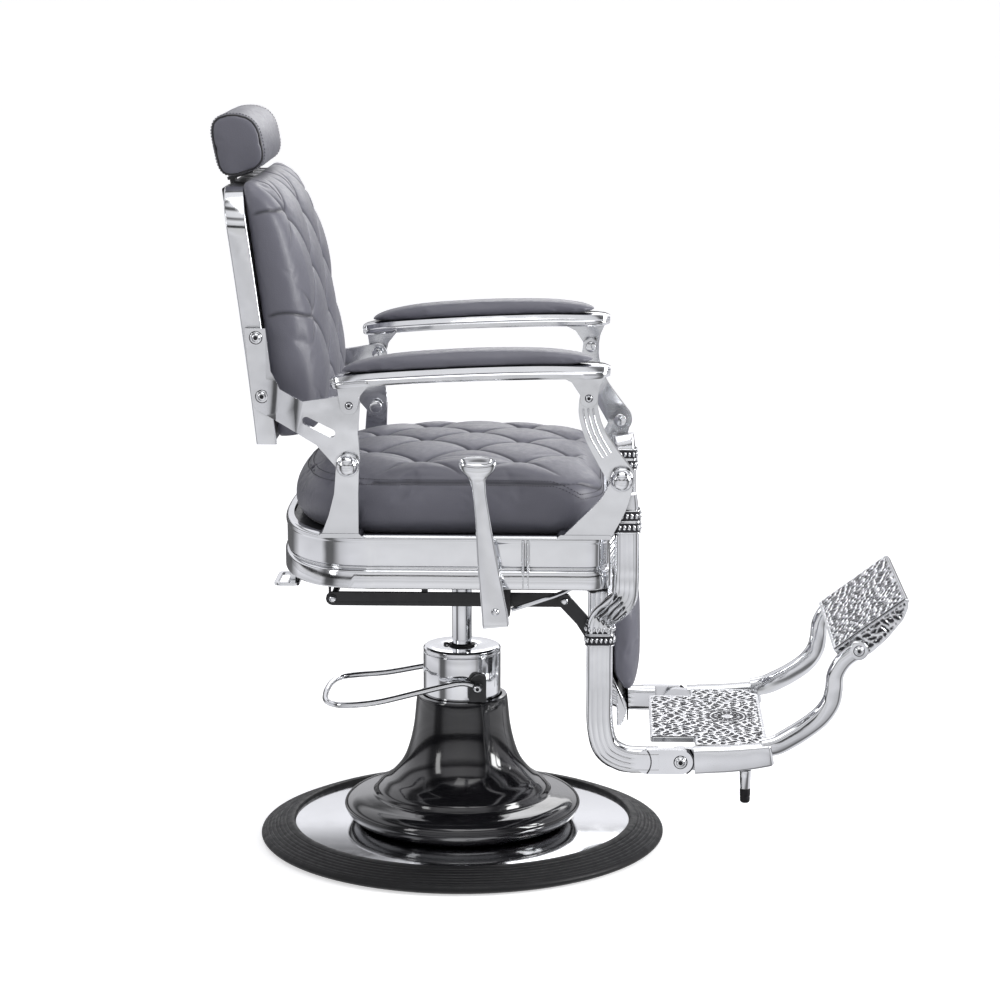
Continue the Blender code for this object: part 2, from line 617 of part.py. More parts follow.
def make_headrest():
    y = POST_SPOT[0]
    thick, wide = 0.004, 0.016
    post = leaning(box((-wide, y - thick, 0.930), (wide, y + thick, 1.0815)), POST_SPOT)
    seat = Vector((0.344, 1.0858))  # the middle of the plate under the slanted headrest
    plate = leaning(box((-0.050, seat.x - 0.021, seat.y - 0.0025), (0.050, seat.x + 0.021, seat.y + 0.0025)),
                    seat, math.radians(16.9))
    add_part("headrest_post", post, "chrome", "headrest", adds=[plate])
    half_shell = 0.038
    shell = leaning(box((-half_shell, y - 0.026, 1.028), (half_shell, y + 0.016, 1.066)), POST_SPOT)
    slot = leaning(box((-wide - 0.001, y - thick - 0.0008, 1.0), (wide + 0.001, y + thick + 0.0008, 1.1)),
                   POST_SPOT)
    add_part("headrest_lock_housing", shell, "black_steel", "back", cuts=[slot])
    y, z = LOCK_PIVOT
    lever = band([(y, z), (y + 0.004, z - 0.022), (y + 0.002, z - 0.046)], [0.0065, 0.0048, 0.0055])
    add_part("headrest_lock_lever", prism(lever, half_shell + 0.0005, half_shell + 0.0065, RIGHT), "black_steel",
             "headrest_lock")
    outline = round_corners([(0.2925, 1.1045, 0.026), (0.3665, 1.0820, 0.030), (0.3860, 1.1845, 0.036),
                             (0.3090, 1.1860, 0.036)], 5)
    centre = Vector((0.3385, 1.1390))
    loops = []
    for x, share in ((-0.130, 0.82), (-0.1265, 0.94), (-0.118, 1.0), (0.118, 1.0), (0.1265, 0.94), (0.130, 0.82)):
        loops.append([(x, *(centre + (Vector(p) - centre) * share)) for p in outline])
    add_part("headrest_cushion", loft(loops), "vinyl", "headrest")


def make_arms():
    """Each arm frame is a cast rail with a lug down to the back bracket and one down to the crank."""
    middle = 0.303
    rail = [(0.181, 0.797, 0.030, 0.012), (0.170, 0.7985, 0.052, 0.018), (0.130, 0.8040, 0.068, 0.020),
            (0.047, 0.8105, 0.078, 0.020), (-0.043, 0.8150, 0.080, 0.021), (-0.133, 0.8175, 0.078, 0.021),
            (-0.195, 0.8170, 0.070, 0.020), (-0.226, 0.8165, 0.052, 0.018), (-0.238, 0.816, 0.026, 0.012)]
    rear_lug = [(0.173, 0.797), (0.1715, 0.778), *arc(ARM_REAR, 0.0130, -10, -170, 8), (0.138, 0.775),
                (0.118, 0.798)]
    front_lug = [(-0.150, 0.809), (-0.180, 0.797), (-0.1925, 0.778), *arc(ARM_FRONT, 0.0130, -10, -170, 8),
                 (-0.2215, 0.790), (-0.230, 0.809)]
    for side, word in ((RIGHT, "right"), (LEFT, "left")):
        body = swept_bar([(middle, *row) for row in rail], side, 2, 0.28)
        pivots = []
        for spot, radius in ((ARM_REAR, 0.0045), (ARM_FRONT, 0.0045)):
            pivots.append(lathe_x([(0, INNER_LAYER[0] - 0.0065), (0.0085, INNER_LAYER[0] - 0.0065),
                                   (0.0085, INNER_LAYER[0] - 0.0015), (radius, INNER_LAYER[0] - 0.0015),
                                   (radius, OUTER_LAYER[0] + 0.004), (0, OUTER_LAYER[0] + 0.004)], side, spot))
        add_part(f"arm_frame_{word}", body, "polished_casting", f"arm_{word}",
                 adds=[prism(rear_lug, *OUTER_LAYER, side), prism(front_lug, *OUTER_LAYER, side), *pivots])
        loops = []
        for y, low, high, half in ((0.166, 0.8095, 0.8125, 0.012), (0.158, 0.8125, 0.8200, 0.024),
                                   (0.120, 0.8165, 0.8320, 0.032), (0.047, 0.8215, 0.8420, 0.036),
                                   (-0.043, 0.8265, 0.8470, 0.037), (-0.120, 0.8290, 0.8480, 0.036),
                                   (-0.178, 0.8290, 0.8440, 0.032), (-0.207, 0.8285, 0.8370, 0.023),
                                   (-0.214, 0.8285, 0.8320, 0.012)):
            section = ((-1, 0), (1, 0), (1, 0.45), (0.72, 0.85), (0, 1), (-0.72, 0.85), (-1, 0.45))
            loops.append([(side * middle + u * half, y, low + v * (high - low)) for u, v in section])
        add_part(f"arm_pad_{word}", loft(loops), "vinyl", f"arm_{word}")


# ---- leg rest, pull bars and footrest ----
def make_legs():
    crank = smooth([(*ARM_FRONT, 0.0135), (-0.2055, 0.748, 0.0150), (-0.2150, 0.716, 0.0155),
                    (-0.2330, 0.684, 0.0175), (*LEG_PIVOT, 0.0205)], 3)
    outline = band([c[:2] for c in crank], [c[2] for c in crank], 8)
    low, high = INNER_LAYER
    upper_x, upper_width = high - 0.0155, 0.031
    lower_x, lower_width = sum(LEG_LAYER) / 2, LEG_LAYER[1] - LEG_LAYER[0]
    post = [(high - 0.0107, -0.2570, 0.640, 0.0212, 0.036), (high - 0.0107, -0.2610, 0.622, 0.0212, 0.036),
            (upper_x, -0.2640, 0.592, upper_width, 0.037),
            (upper_x, -0.2645, 0.490, upper_width, 0.038),
            (upper_x - 0.012, -0.2610, 0.458, upper_width, 0.039), (0.232, -0.2430, 0.432, upper_width, 0.041),
            (lower_x + 0.008, -0.2275, 0.408, lower_width, 0.041), (lower_x, -0.2245, 0.375, lower_width, 0.041),
            (lower_x, -0.2245, 0.300, lower_width, 0.041), (lower_x, -0.2255, 0.240, lower_width, 0.041),
            (lower_x, -0.2350, 0.204, lower_width, 0.041), (lower_x, -0.2600, 0.1865, lower_width, 0.040),
            (lower_x, -0.2900, 0.1835, lower_width, 0.039), (lower_x, -0.3240, 0.1835, lower_width, 0.039)]
    knuckle = band([(-0.315, FOOT_HINGE[1]), FOOT_HINGE], [0.0195, 0.0195], 10)
    middle = lower_x + 0.0003
    for side, word in ((RIGHT, "right"), (LEFT, "left")):
        add_part(f"leg_frame_{word}", swept_bar(post, side), "polished_casting", "leg",
                 adds=[prism(outline, low, high, side), prism(knuckle, middle, LEG_LAYER[1] - 0.0003, side)],
                 cuts=[pin(0.25, 0.30, LEG_PIVOT, 0.0066, side), pin(0.25, 0.30, ARM_FRONT, 0.0078, side),
                       pin(middle - 0.002, 0.22, FOOT_HINGE, 0.0062, side)])
    reach = LEG_LAYER[0] - 0.0005
    board = [(-0.2355, 0.424), (-0.2355, 0.320), (-0.2520, 0.291), (-0.2520, 0.2335), (-0.2580, 0.2335),
             (-0.2640, 0.244), (-0.2680, 0.257), (-0.2665, 0.272), (-0.2580, 0.286), (-0.2447, 0.314),
             (-0.2447, 0.424)]
    add_part("leg_cross_plate", prism(board, -reach, reach), "polished_casting", "leg")
    stations = []
    for z, rear, front_y, front_z, half in ((0.2790, -0.2665, -0.2720, 0.2775, 0.138),
                                            (0.2880, -0.2605, -0.2795, 0.2860, 0.154),
                                            (0.3150, -0.2475, -0.2860, 0.3150, 0.162),
                                            (0.3500, -0.2455, -0.2880, 0.3480, 0.162),
                                            (0.3950, -0.2455, -0.2870, 0.3950, 0.162),
                                            (0.4200, -0.2455, -0.2830, 0.4220, 0.157),
                                            (0.4290, -0.2480, -0.2700, 0.4310, 0.147)):
        stations.append((rear, z, front_y, front_z, half))
    add_part("calf_pad", padded(stations, CROWNED), "vinyl", "leg")
    link = band([BAR_FRONT, (-0.196, 0.404), (-0.212, 0.378)], [0.0110, 0.0105, 0.0100])
    for side, word in ((RIGHT, "right"), (LEFT, "left")):
        stub = lathe_x([(0, BAR_LAYER[0] - 0.003), (0.006, BAR_LAYER[0] - 0.003), (0.006, BAR_LAYER[0] - 0.0005),
                        (0.004, BAR_LAYER[0] - 0.0005), (0.004, LINK_LAYER[0] + 0.003),
                        (0, LINK_LAYER[0] + 0.003)], side, BAR_FRONT)
        add_part(f"linkage_arm_{word}", prism(link, *LINK_LAYER, side), "black_steel", "leg", adds=[stub])


def make_pull_bars():
    for side, word in ((RIGHT, "right"), (LEFT, "left")):
        add_part(f"pull_bar_{word}", prism(band([BAR_FRONT, BAR_REAR], [0.0110, 0.0110]), *BAR_LAYER, side),
                 "black_steel", "pull_bars", cuts=[pin(0.15, 0.18, BAR_FRONT, 0.0045, side),
                                                   pin(0.15, 0.18, BAR_REAR, 0.0048, side)])
    end = BAR_LAYER[1] + 0.0005
    half = [(0, end + 0.0025), (0.0065, end + 0.0025), (0.0065, end), (0.0042, end),
            (0.0042, BAR_LAYER[0] - 0.0005), (0.0050, BAR_LAYER[0] - 0.0005)]
    profile = half + [(r, -x) for r, x in half[::-1]]
    add_part("cross_rod", lathe_x(profile, LEFT, BAR_REAR), "black_steel", "pull_bars")


def make_footrest():
    x, width = sum(LEG_LAYER) / 2, LEG_LAYER[1] - LEG_LAYER[0]
    y, z = FOOT_HINGE
    rail = [(x, y - 0.0216, z, width - 0.0006, 0.0390), (x, -0.4300, 0.1865, width - 0.0006, 0.0380),
            (x, -0.4620, 0.1900, width - 0.0008, 0.0360), (x, -0.4900, 0.1985, width - 0.001, 0.0335),
            (0.185, -0.5180, 0.2140, 0.026, 0.0325), (0.180, -0.5460, 0.2315, 0.024, 0.0320),
            (0.177, -0.5710, 0.2510, 0.022, 0.0315), (0.177, -0.5860, 0.2730, 0.020, 0.0300),
            (0.177, -0.5910, 0.2960, 0.020, 0.0280), (0.177, -0.5930, 0.3200, 0.019, 0.0270),
            (0.177, -0.6060, 0.3430, 0.019, 0.0270), (0.177, *FLIP_HINGE, 0.019, 0.0270)]
    tongue = band([FOOT_HINGE, (y - 0.040, z)], [0.0190, 0.0150], 10)
    for side, word in ((RIGHT, "right"), (LEFT, "left")):
        hinge = lathe_x([(0, LEG_LAYER[0] + 0.004), (0.0056, LEG_LAYER[0] + 0.004), (0.0056, LEG_LAYER[1] + 0.0004),
                         (0.0095, LEG_LAYER[1] + 0.0004), (0.0095, LEG_LAYER[1] + 0.0025),
                         (0.0075, LEG_LAYER[1] + 0.0040), (0, LEG_LAYER[1] + 0.0040)], side, FOOT_HINGE)
        add_part(f"foot_arm_{word}", swept_bar(rail, side), "polished_casting", "footrest",
                 adds=[prism(tongue, LEG_LAYER[0] + 0.0004, x - 0.0003, side), hinge,
                       pin(0.1675, 0.1865, FLIP_HINGE, 0.0150, side, 20),
                       pin(0.1560, 0.1700, FLIP_HINGE, 0.0045, side)])
    reach = LEG_LAYER[0] - 0.0004
    wide_rear, deep_rear, front = -0.3765, -0.3060, -0.4900
    plan = round_corners([
        (-0.130, deep_rear, 0.006), (0.130, deep_rear, 0.006), (0.130, wide_rear, 0.003), (reach, wide_rear, 0.001),
        (reach, front, 0.001), (-reach, front, 0.001), (-reach, wide_rear, 0.001), (-0.130, wide_rear, 0.003)])
    add_part("footplate", flat(plan, 0.1945, 0.2025), "polished_casting", "footrest")
    for side, word in ((RIGHT, "right"), (LEFT, "left")):
        place = Matrix.Translation((side * x, -0.4540, 0))
        top = 0.1686
        add_part(f"foot_stub_{word}", lathe([
            (0, 0.134), (0.0060, 0.134), (0.0060, 0.1385), (0.0082, 0.1385), (0.0092, 0.160), (0.0092, top - 0.0003),
            (0, top - 0.0003)], 16, place), "chrome", "footrest")
        add_part(f"foot_stub_tip_{word}", lathe([
            (0, 0.116), (0.0062, 0.116), (0.0078, 0.1185), (0.0085, 0.1375), (0.0065, 0.1375), (0.0065, 0.1335),
            (0, 0.1335)], 16, place), "rubber", "footrest")


def make_flip_plate():
    """A tread on two cheeks, hinged low between the tips of the foot arms."""
    half = 0.1660
    rear, front = Vector((-0.5900, 0.3560)), Vector((-0.7020, 0.4400))
    along = (front - rear).normalized()
    drop = Vector((-along.y, along.x))
    if drop.y > 0:
        drop = -drop
    tread = [tuple(rear), tuple(front), tuple(front + drop * 0.008), tuple(rear + drop * 0.008)]
    cheek = [tuple(rear), tuple(front), (-0.7060, 0.4280), (-0.6980, 0.4060), (-0.6730, 0.3740),
             (-0.6480, 0.3510), (-0.6230, 0.3420), (-0.6020, 0.3440)]
    cheeks = [prism(round_corners([(*p, 0.004) for p in cheek], 2), half - 0.008, half, side)
              for side in (RIGHT, LEFT)]
    bores = [pin(0.150, 0.172, FLIP_HINGE, 0.0052, side) for side in (RIGHT, LEFT)]
    add_part("flip_plate", prism(tread, -half + 0.004, half - 0.004), "polished_casting", "flip",
             adds=cheeks, cuts=bores)


clear_scene()
MATERIALS = {name: make_material(name) for name in COLOURS}
EMPTIES = make_empties()
make_base()
make_pump_lever()
make_piston()
make_seat_body()
make_horns()
make_knobs()
make_underseat()
make_recline_lever()
make_back()
make_brackets()
make_headrest()
make_arms()
make_legs()
make_pull_bars()
make_footrest()
make_flip_plate()
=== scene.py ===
"""Looks of the hydraulic barber chair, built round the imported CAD. Metres, +Z up, the sitter faces -Y."""

import json
import math

import bmesh
import bpy
import numpy as np
from mathutils import Matrix, Vector


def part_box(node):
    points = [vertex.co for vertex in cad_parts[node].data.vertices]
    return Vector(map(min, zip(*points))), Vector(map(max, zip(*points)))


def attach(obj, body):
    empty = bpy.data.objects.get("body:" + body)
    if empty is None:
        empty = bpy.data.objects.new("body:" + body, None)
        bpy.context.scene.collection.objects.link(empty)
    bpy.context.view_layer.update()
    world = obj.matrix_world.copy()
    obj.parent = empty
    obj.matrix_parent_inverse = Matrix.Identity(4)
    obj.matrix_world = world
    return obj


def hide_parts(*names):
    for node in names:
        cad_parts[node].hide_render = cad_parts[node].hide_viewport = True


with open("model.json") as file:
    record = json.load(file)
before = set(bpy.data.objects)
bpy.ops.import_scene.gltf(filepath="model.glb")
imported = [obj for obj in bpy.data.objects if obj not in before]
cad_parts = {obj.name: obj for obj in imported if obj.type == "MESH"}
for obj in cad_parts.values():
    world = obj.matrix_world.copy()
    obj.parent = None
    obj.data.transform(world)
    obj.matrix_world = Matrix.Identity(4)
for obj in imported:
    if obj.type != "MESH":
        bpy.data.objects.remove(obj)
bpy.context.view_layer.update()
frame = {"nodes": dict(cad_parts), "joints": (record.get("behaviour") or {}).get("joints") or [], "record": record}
SPOT = {j["name"]: Vector(j["pos_m"]) for j in frame["joints"] if "pos_m" in j}
SIDES = (("right", -1), ("left", 1))
scene = bpy.context.scene


# ---- materials ----
class Nodes:
    """Short calls for building a node tree."""

    def __init__(self, tree, coordinates="Object"):
        self.nodes, self.links = tree.nodes, tree.links
        self.place = self.node("TexCoord").outputs[coordinates]

    def node(self, kind, inputs=None, **settings):
        made = self.nodes.new("ShaderNode" + kind)
        for key, value in settings.items():
            setattr(made, key, value)
        for key, value in (inputs or {}).items():
            if isinstance(value, bpy.types.NodeSocket):
                self.links.new(value, made.inputs[key])
            else:
                made.inputs[key].default_value = value
        return made

    def noise(self, scale, detail=3.0):
        return self.node("TexNoise", {"Vector": self.place, "Scale": scale, "Detail": detail}).outputs["Fac"]

    def math(self, operation, a, b=0.0):
        return self.node("Math", {0: a, 1: b}, operation=operation).outputs[0]

    def remap(self, value, low, high, start=0.0, end=1.0):
        ends = {"From Min": start, "From Max": end, "To Min": low, "To Max": high}
        return self.node("MapRange", {"Value": value, **ends}).outputs[0]

    def mix(self, share, first, second, **settings):
        colours = [c if isinstance(c, bpy.types.NodeSocket) else (*c, 1) for c in (first, second)]
        inputs = {"Factor": share, 6: colours[0], 7: colours[1]}
        return self.node("Mix", inputs, data_type="RGBA", **settings).outputs[2]

    def greys(self, value, stops):
        """A ramp of greys from (position, grey) stops."""
        ramp = self.node("ValToRGB", {0: value})
        elements = ramp.color_ramp.elements
        for element, (position, grey) in zip(elements, (stops[0], stops[-1])):
            element.position, element.color = position, (grey, grey, grey, 1)
        for position, grey in stops[1:-1]:
            elements.new(position).color = (grey, grey, grey * 1.02, 1)
        return ramp.outputs["Color"]

    def greys_around(self, stops):
        """A ramp of greys by the turn of a place about Z, from the -X side round to it again."""
        split = self.node("SeparateXYZ", {0: self.place}).outputs
        turn = self.math("ARCTAN2", split["Y"], split["X"])
        return self.greys(self.remap(turn, 0.0, 1.0, -math.pi, math.pi), stops)

    def camera_sees(self):
        return self.node("LightPath").outputs["Is Camera Ray"]

    def bump(self, height, distance, strength=1.0, under=None):
        inputs = {"Height": height, "Distance": distance, "Strength": strength}
        if under:
            inputs["Normal"] = under
        return self.node("Bump", inputs).outputs["Normal"]


class Shader(Nodes):
    """A Principled material."""

    def __init__(self, name, colour, roughness, metallic=0.0):
        self.material = bpy.data.materials.new(name)
        self.material.use_nodes = True
        super().__init__(self.material.node_tree)
        self.main = self.nodes["Principled BSDF"]
        self.set("Base Color", (*colour, 1))
        self.set("Roughness", roughness)
        self.set("Metallic", metallic)

    def set(self, name, value):
        self.main.inputs[name].default_value = value

    def feed(self, name, value):
        self.links.new(value, self.main.inputs[name])


def make_chrome(name, colour, rough, wave):
    """Bright plate: faint waviness of the metal below, fine wear in the gloss, and painted shade that darkens it
    in crevices.
    """
    s = Shader(name, colour, rough, 1.0)
    smear = s.remap(s.noise(38, 4), rough * 0.7, rough * 1.7, 0.3, 0.7)
    s.feed("Roughness", smear)
    tone = s.mix(s.remap(s.noise(9, 2), 0, 1, 0.35, 0.65), tuple(c * 0.95 for c in colour), colour)
    # Painted shade: ambient occlusion darkens the base colour in crevices and where parts meet.
    crevice_shade = s.node("AmbientOcclusion", {"Distance": 0.011}, samples=4, only_local=False).outputs["AO"]
    s.feed("Base Color", s.mix(s.remap(crevice_shade, 0, 1, 0.3, 0.62), (0.03, 0.03, 0.034), tone))
    slow = s.bump(s.noise(24, 1), wave)
    s.feed("Normal", s.bump(s.noise(600, 2), 0.00002, 0.4, slow))
    return s.material


def make_black(name, base, rough, coat, grain):
    """Enamel or powder coat with a slight orange peel."""
    s = Shader(name, base, rough)
    s.set("Coat Weight", coat)
    s.set("Coat Roughness", 0.04)
    s.feed("Roughness", s.remap(s.noise(60, 5), rough * 0.75, rough * 1.35, 0.3, 0.7))
    s.feed("Base Color", s.mix(s.remap(s.noise(14, 3), 0, 1, 0.4, 0.7), base,
                               tuple(c * 1.6 + 0.003 for c in base)))
    s.feed("Normal", s.bump(s.noise(grain, 3), 0.00012, 0.6))
    return s.material


def make_rubber():
    s = Shader("ribbed_rubber", (0.012, 0.012, 0.013), 0.42)
    s.set("Specular IOR Level", 0.28)
    s.feed("Roughness", s.remap(s.noise(90, 4), 0.34, 0.55, 0.3, 0.7))
    dust = s.remap(s.noise(20, 6), 0, 0.35, 0.45, 0.75)
    s.feed("Base Color", s.mix(dust, (0.009, 0.009, 0.01), (0.024, 0.024, 0.026)))
    s.feed("Normal", s.bump(s.noise(1400, 2), 0.0002, 0.5))
    return s.material


def make_vinyl():
    """Grey vinyl: small pebbled grain, slight cloudiness, a satin top coat, and painted shade in its folds and
    seams.
    """
    s = Shader("grey_vinyl", (0.13, 0.13, 0.155), 0.45)
    grain = s.node("TexVoronoi", {"Vector": s.place, "Scale": 850.0, "Smoothness": 0.6},
                   feature="SMOOTH_F1").outputs["Distance"]
    fine = s.noise(2300, 3)
    cloud = s.remap(s.noise(11, 4), 0, 1, 0.3, 0.7)
    tone = s.mix(cloud, (0.128, 0.128, 0.156), (0.15, 0.15, 0.181))
    grained = s.mix(s.remap(grain, 0.16, 0.0, 0.0, 0.5), tone, (0.086, 0.086, 0.108))
    # Painted shade: the base colour darkens where the fold attribute marks folds, creases and seams.
    fold = s.node("Attribute", attribute_name="fold").outputs["Fac"]
    s.feed("Base Color", s.mix(s.math("MULTIPLY", fold, 0.85), grained, (0.018, 0.018, 0.024)))
    s.feed("Roughness", s.remap(s.noise(120, 3), 0.36, 0.5, 0.3, 0.7))
    under = s.bump(s.noise(45, 4), 0.0009, 0.5)
    s.feed("Normal", s.bump(fine, 0.00006, 0.6, s.bump(grain, 0.00022, 0.7, under)))
    s.set("Sheen Weight", 0.12)
    s.set("Sheen Roughness", 0.4)
    s.set("Coat Weight", 0.1)
    s.set("Coat Roughness", 0.35)
    return s.material


def make_thread():
    s = Shader("thread", (0.06, 0.058, 0.07), 0.6)
    twist = s.node("TexWave", {"Vector": s.place, "Scale": 900.0, "Distortion": 1.0}).outputs["Fac"]
    s.feed("Normal", s.bump(twist, 0.0002, 0.8))
    s.feed("Base Color", s.mix(twist, (0.045, 0.043, 0.052), (0.085, 0.082, 0.096)))
    return s.material


def make_cast_recess():
    """The dark, rough floor behind cast scrollwork; also the painted shade in screw sockets, under screw heads and
    along the hinge joint lines.
    """
    s = Shader("dark_recess", (0.03, 0.03, 0.034), 0.55, 0.6)
    s.feed("Base Color", s.mix(s.noise(160, 5), (0.008, 0.008, 0.01), (0.09, 0.09, 0.1)))
    s.feed("Normal", s.bump(s.noise(420, 4), 0.0006, 0.8))
    return s.material


# Greys of the cards that the chrome sees laid on the floor: by distance in shares of 16 m,
# and by turn in shares of a turn from the -X side. Each stop is (share, grey).
CARDS_OUTWARD = ((0.0, 0.55), (0.03, 0.8), (0.055, 1.0), (0.085, 0.72), (0.12, 0.95), (0.16, 0.7),
                 (0.21, 0.86), (0.27, 1.0), (0.33, 0.62), (0.42, 0.95), (0.56, 0.66), (0.75, 1.0),
                 (1.0, 0.8))
CARDS_AROUND = ((0.0, 0.98), (0.07, 0.92), (0.11, 0.7), (0.14, 0.05), (0.175, 0.05), (0.2, 0.9),
                (0.34, 1.0), (0.39, 0.08), (0.45, 0.06), (0.48, 0.7), (0.52, 0.7), (0.55, 0.06),
                (0.61, 0.08), (0.66, 1.0), (0.8, 0.9), (0.825, 0.05), (0.86, 0.05), (0.89, 0.7),
                (0.93, 0.92), (1.0, 0.98))


def make_floor():
    """A pale sweep, which the camera sees brightened; the chrome sees grey cards round the chair instead."""
    s = Shader("pale_floor", (0.86, 0.86, 0.87), 0.62)
    seen = s.camera_sees()
    pale = s.mix(s.noise(1.3, 4), (0.8, 0.8, 0.81), (0.83, 0.83, 0.84))
    s.feed("Base Color", s.mix(seen, (0.1, 0.1, 0.1), pale))
    s.feed("Roughness", s.remap(s.noise(6, 4), 0.85, 0.95))
    s.set("Specular IOR Level", 0.0)
    away = s.node("VectorMath", {0: s.place}, operation="LENGTH").outputs["Value"]
    outward = s.greys(s.math("DIVIDE", away, 16.0), CARDS_OUTWARD)
    near = s.remap(away, 0.0, 1.0, 0.35, 0.6)
    cards = s.mix(near, outward, s.greys_around(CARDS_AROUND), blend_type="MULTIPLY")
    s.feed("Emission Color", s.mix(seen, cards, (1.0, 1.0, 1.0)))
    s.feed("Emission Strength", s.remap(seen, 0.8, 0.56))
    return s.material


CHROME = make_chrome("chrome_plate", (0.86, 0.87, 0.89), 0.055, 0.0001)
CASTING = make_chrome("polished_casting", (0.84, 0.85, 0.87), 0.085, 0.00055)
MIRROR_DISC = make_chrome("turned_disc", (0.9, 0.91, 0.93), 0.07, 0.00002)
ENAMEL = make_black("black_enamel", (0.006, 0.006, 0.0075), 0.12, 0.9, 220)
BLACK_STEEL = make_black("black_powder_coat", (0.01, 0.01, 0.012), 0.34, 0.15, 900)
RUBBER = make_rubber()
VINYL = make_vinyl()
THREAD = make_thread()
PIPING = make_black("black_piping", (0.012, 0.012, 0.014), 0.35, 0.2, 700)
RECESS = make_cast_recess()
BY_SLOT = {"chrome": CHROME, "polished_casting": CASTING, "black_gloss": ENAMEL, "black_steel": BLACK_STEEL,
           "rubber": RUBBER, "vinyl": VINYL, "back_board": VINYL}


# ---- mesh helpers ----
def finish_piece(obj, body, slot, replaces=(), material=None):
    obj.data.materials.clear()
    obj.data.materials.append(material or BY_SLOT[slot])
    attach(obj, body)
    if replaces:
        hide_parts(replaces)
    return obj


def mesh_object(name, bm, sharp=35):
    bmesh.ops.recalc_face_normals(bm, faces=bm.faces)
    mesh = bpy.data.meshes.new(name)
    bm.to_mesh(mesh)
    bm.free()
    mesh.shade_smooth()
    mesh.set_sharp_from_angle(angle=math.radians(sharp))
    obj = bpy.data.objects.new(name, mesh)
    scene.collection.objects.link(obj)
    return obj


def piece(name, bm, body, slot, replaces=(), material=None, sharp=35):
    """A finished object from a bmesh."""
    return finish_piece(mesh_object(name, bm, sharp), body, slot, replaces, material)


def mirrored(half):
    """A closed section from its right half, which starts at the foot and ends on the middle line."""
    return [(-half[0][0], half[0][1]), *half, *[(-u, v) for u, v in half[-2:0:-1]]]


def near(distance, width):
    """1 at no distance, falling off as a bell of this width."""
    return np.exp(-((distance / width) ** 2))


def rise(value, start, reach):
    """0 up to start, then straight up to 1 over the reach."""
    return np.clip((value - start) / reach, 0, 1)


def walk(points):
    """The length of a closed line, and a function that gives the point at a length along it."""
    line = np.array([*points, points[0]], float)
    lengths = np.concatenate([[0], np.cumsum(np.linalg.norm(np.diff(line, axis=0), axis=1))])
    return lengths[-1], lambda s: [np.interp(s, lengths, line[:, k]) for k in range(line.shape[1])]


def skin(bm, loops, closed=False, caps=True):
    """Adds a skin over matching loops of points."""
    rings = [[bm.verts.new(p) for p in loop] for loop in loops]
    count = len(rings[0])
    pairs = list(zip(rings, rings[1:] + rings[:1])) if closed else list(zip(rings, rings[1:]))
    for first, second in pairs:
        for i in range(count):
            j = (i + 1) % count
            bm.faces.new((first[i], first[j], second[j], second[i]))
    if caps and not closed:
        bm.faces.new(rings[0])
        bm.faces.new(rings[-1][::-1])


def smooth(points, steps):
    """A Catmull-Rom curve through points of any dimension."""
    pts = np.array(points, float)
    padded = np.vstack([pts[:1], pts, pts[-1:]])
    out = []
    for i in range(1, len(padded) - 2):
        p0, p1, p2, p3 = padded[i - 1:i + 3]
        for t in np.arange(steps) / steps:
            out.append(0.5 * (2 * p1 + (p2 - p0) * t + (2 * p0 - 5 * p1 + 4 * p2 - p3) * t**2
                              + (3 * p1 - p0 - 3 * p2 + p3) * t**3))
    return np.array([*out, pts[-1]])


def turned(bm, profile, matrix=None, steps=96):
    """A turned piece about Z from (radius, z) points that start and end on the axis or form a closed ring."""
    matrix = matrix or Matrix.Identity(4)
    closed = not (profile[0][0] == 0 and profile[-1][0] == 0)
    angles = [math.tau * k / steps for k in range(steps)]
    rings = []
    for r, z in profile:
        if r == 0:
            rings.append([bm.verts.new(matrix @ Vector((0, 0, z)))])
        else:
            rings.append([bm.verts.new(matrix @ Vector((r * math.cos(a), r * math.sin(a), z)))
                          for a in angles])
    pairs = list(zip(rings, rings[1:] + rings[:1])) if closed else list(zip(rings, rings[1:]))
    for first, second in pairs:
        for k in range(steps):
            n = (k + 1) % steps
            corners = [first[k % len(first)], first[n % len(first)], second[n % len(second)],
                       second[k % len(second)]]
            unique = list(dict.fromkeys(corners))
            if len(unique) > 2:
                bm.faces.new(unique)


def across(side, spot):
    """A frame whose Z runs out across the chair on a side, at a (y, z) spot."""
    return Matrix.Translation((0, spot[0], spot[1])) @ Matrix.Rotation(side * math.pi / 2, 4, "Y")


def rounded(profile, radius=0.0008, steps=3):
    """Rounds the inner corners of an open (r, z) profile, to catch the light."""
    out = [profile[0]]
    for before, here, after in zip(profile, profile[1:], profile[2:]):
        a, h, b = Vector(before), Vector(here), Vector(after)
        reach = min(radius, (a - h).length * 0.45, (b - h).length * 0.45)
        if reach < 1e-5 or here[0] == 0:
            out.append(here)
            continue
        p, q = h + (a - h).normalized() * reach, h + (b - h).normalized() * reach
        for k in range(steps + 1):
            t = k / steps
            out.append(tuple(p * (1 - t) ** 2 + h * 2 * t * (1 - t) + q * t * t))
    return [*out, profile[-1]]


def lathe(name, profile, body, slot, replaces=(), material=None, sharp=35, matrix=None, steps=96, edge=0.0):
    """A finished turned piece, with its profile's corners rounded where edge says."""
    bm = bmesh.new()
    turned(bm, rounded(profile, edge) if edge else profile, matrix, steps)
    return piece(name, bm, body, slot, replaces, material, sharp)


def turned_size(node):
    """Radius, bottom and top of a CAD node turned about the Z axis."""
    low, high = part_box(node)
    return high.x, low.z, high.z


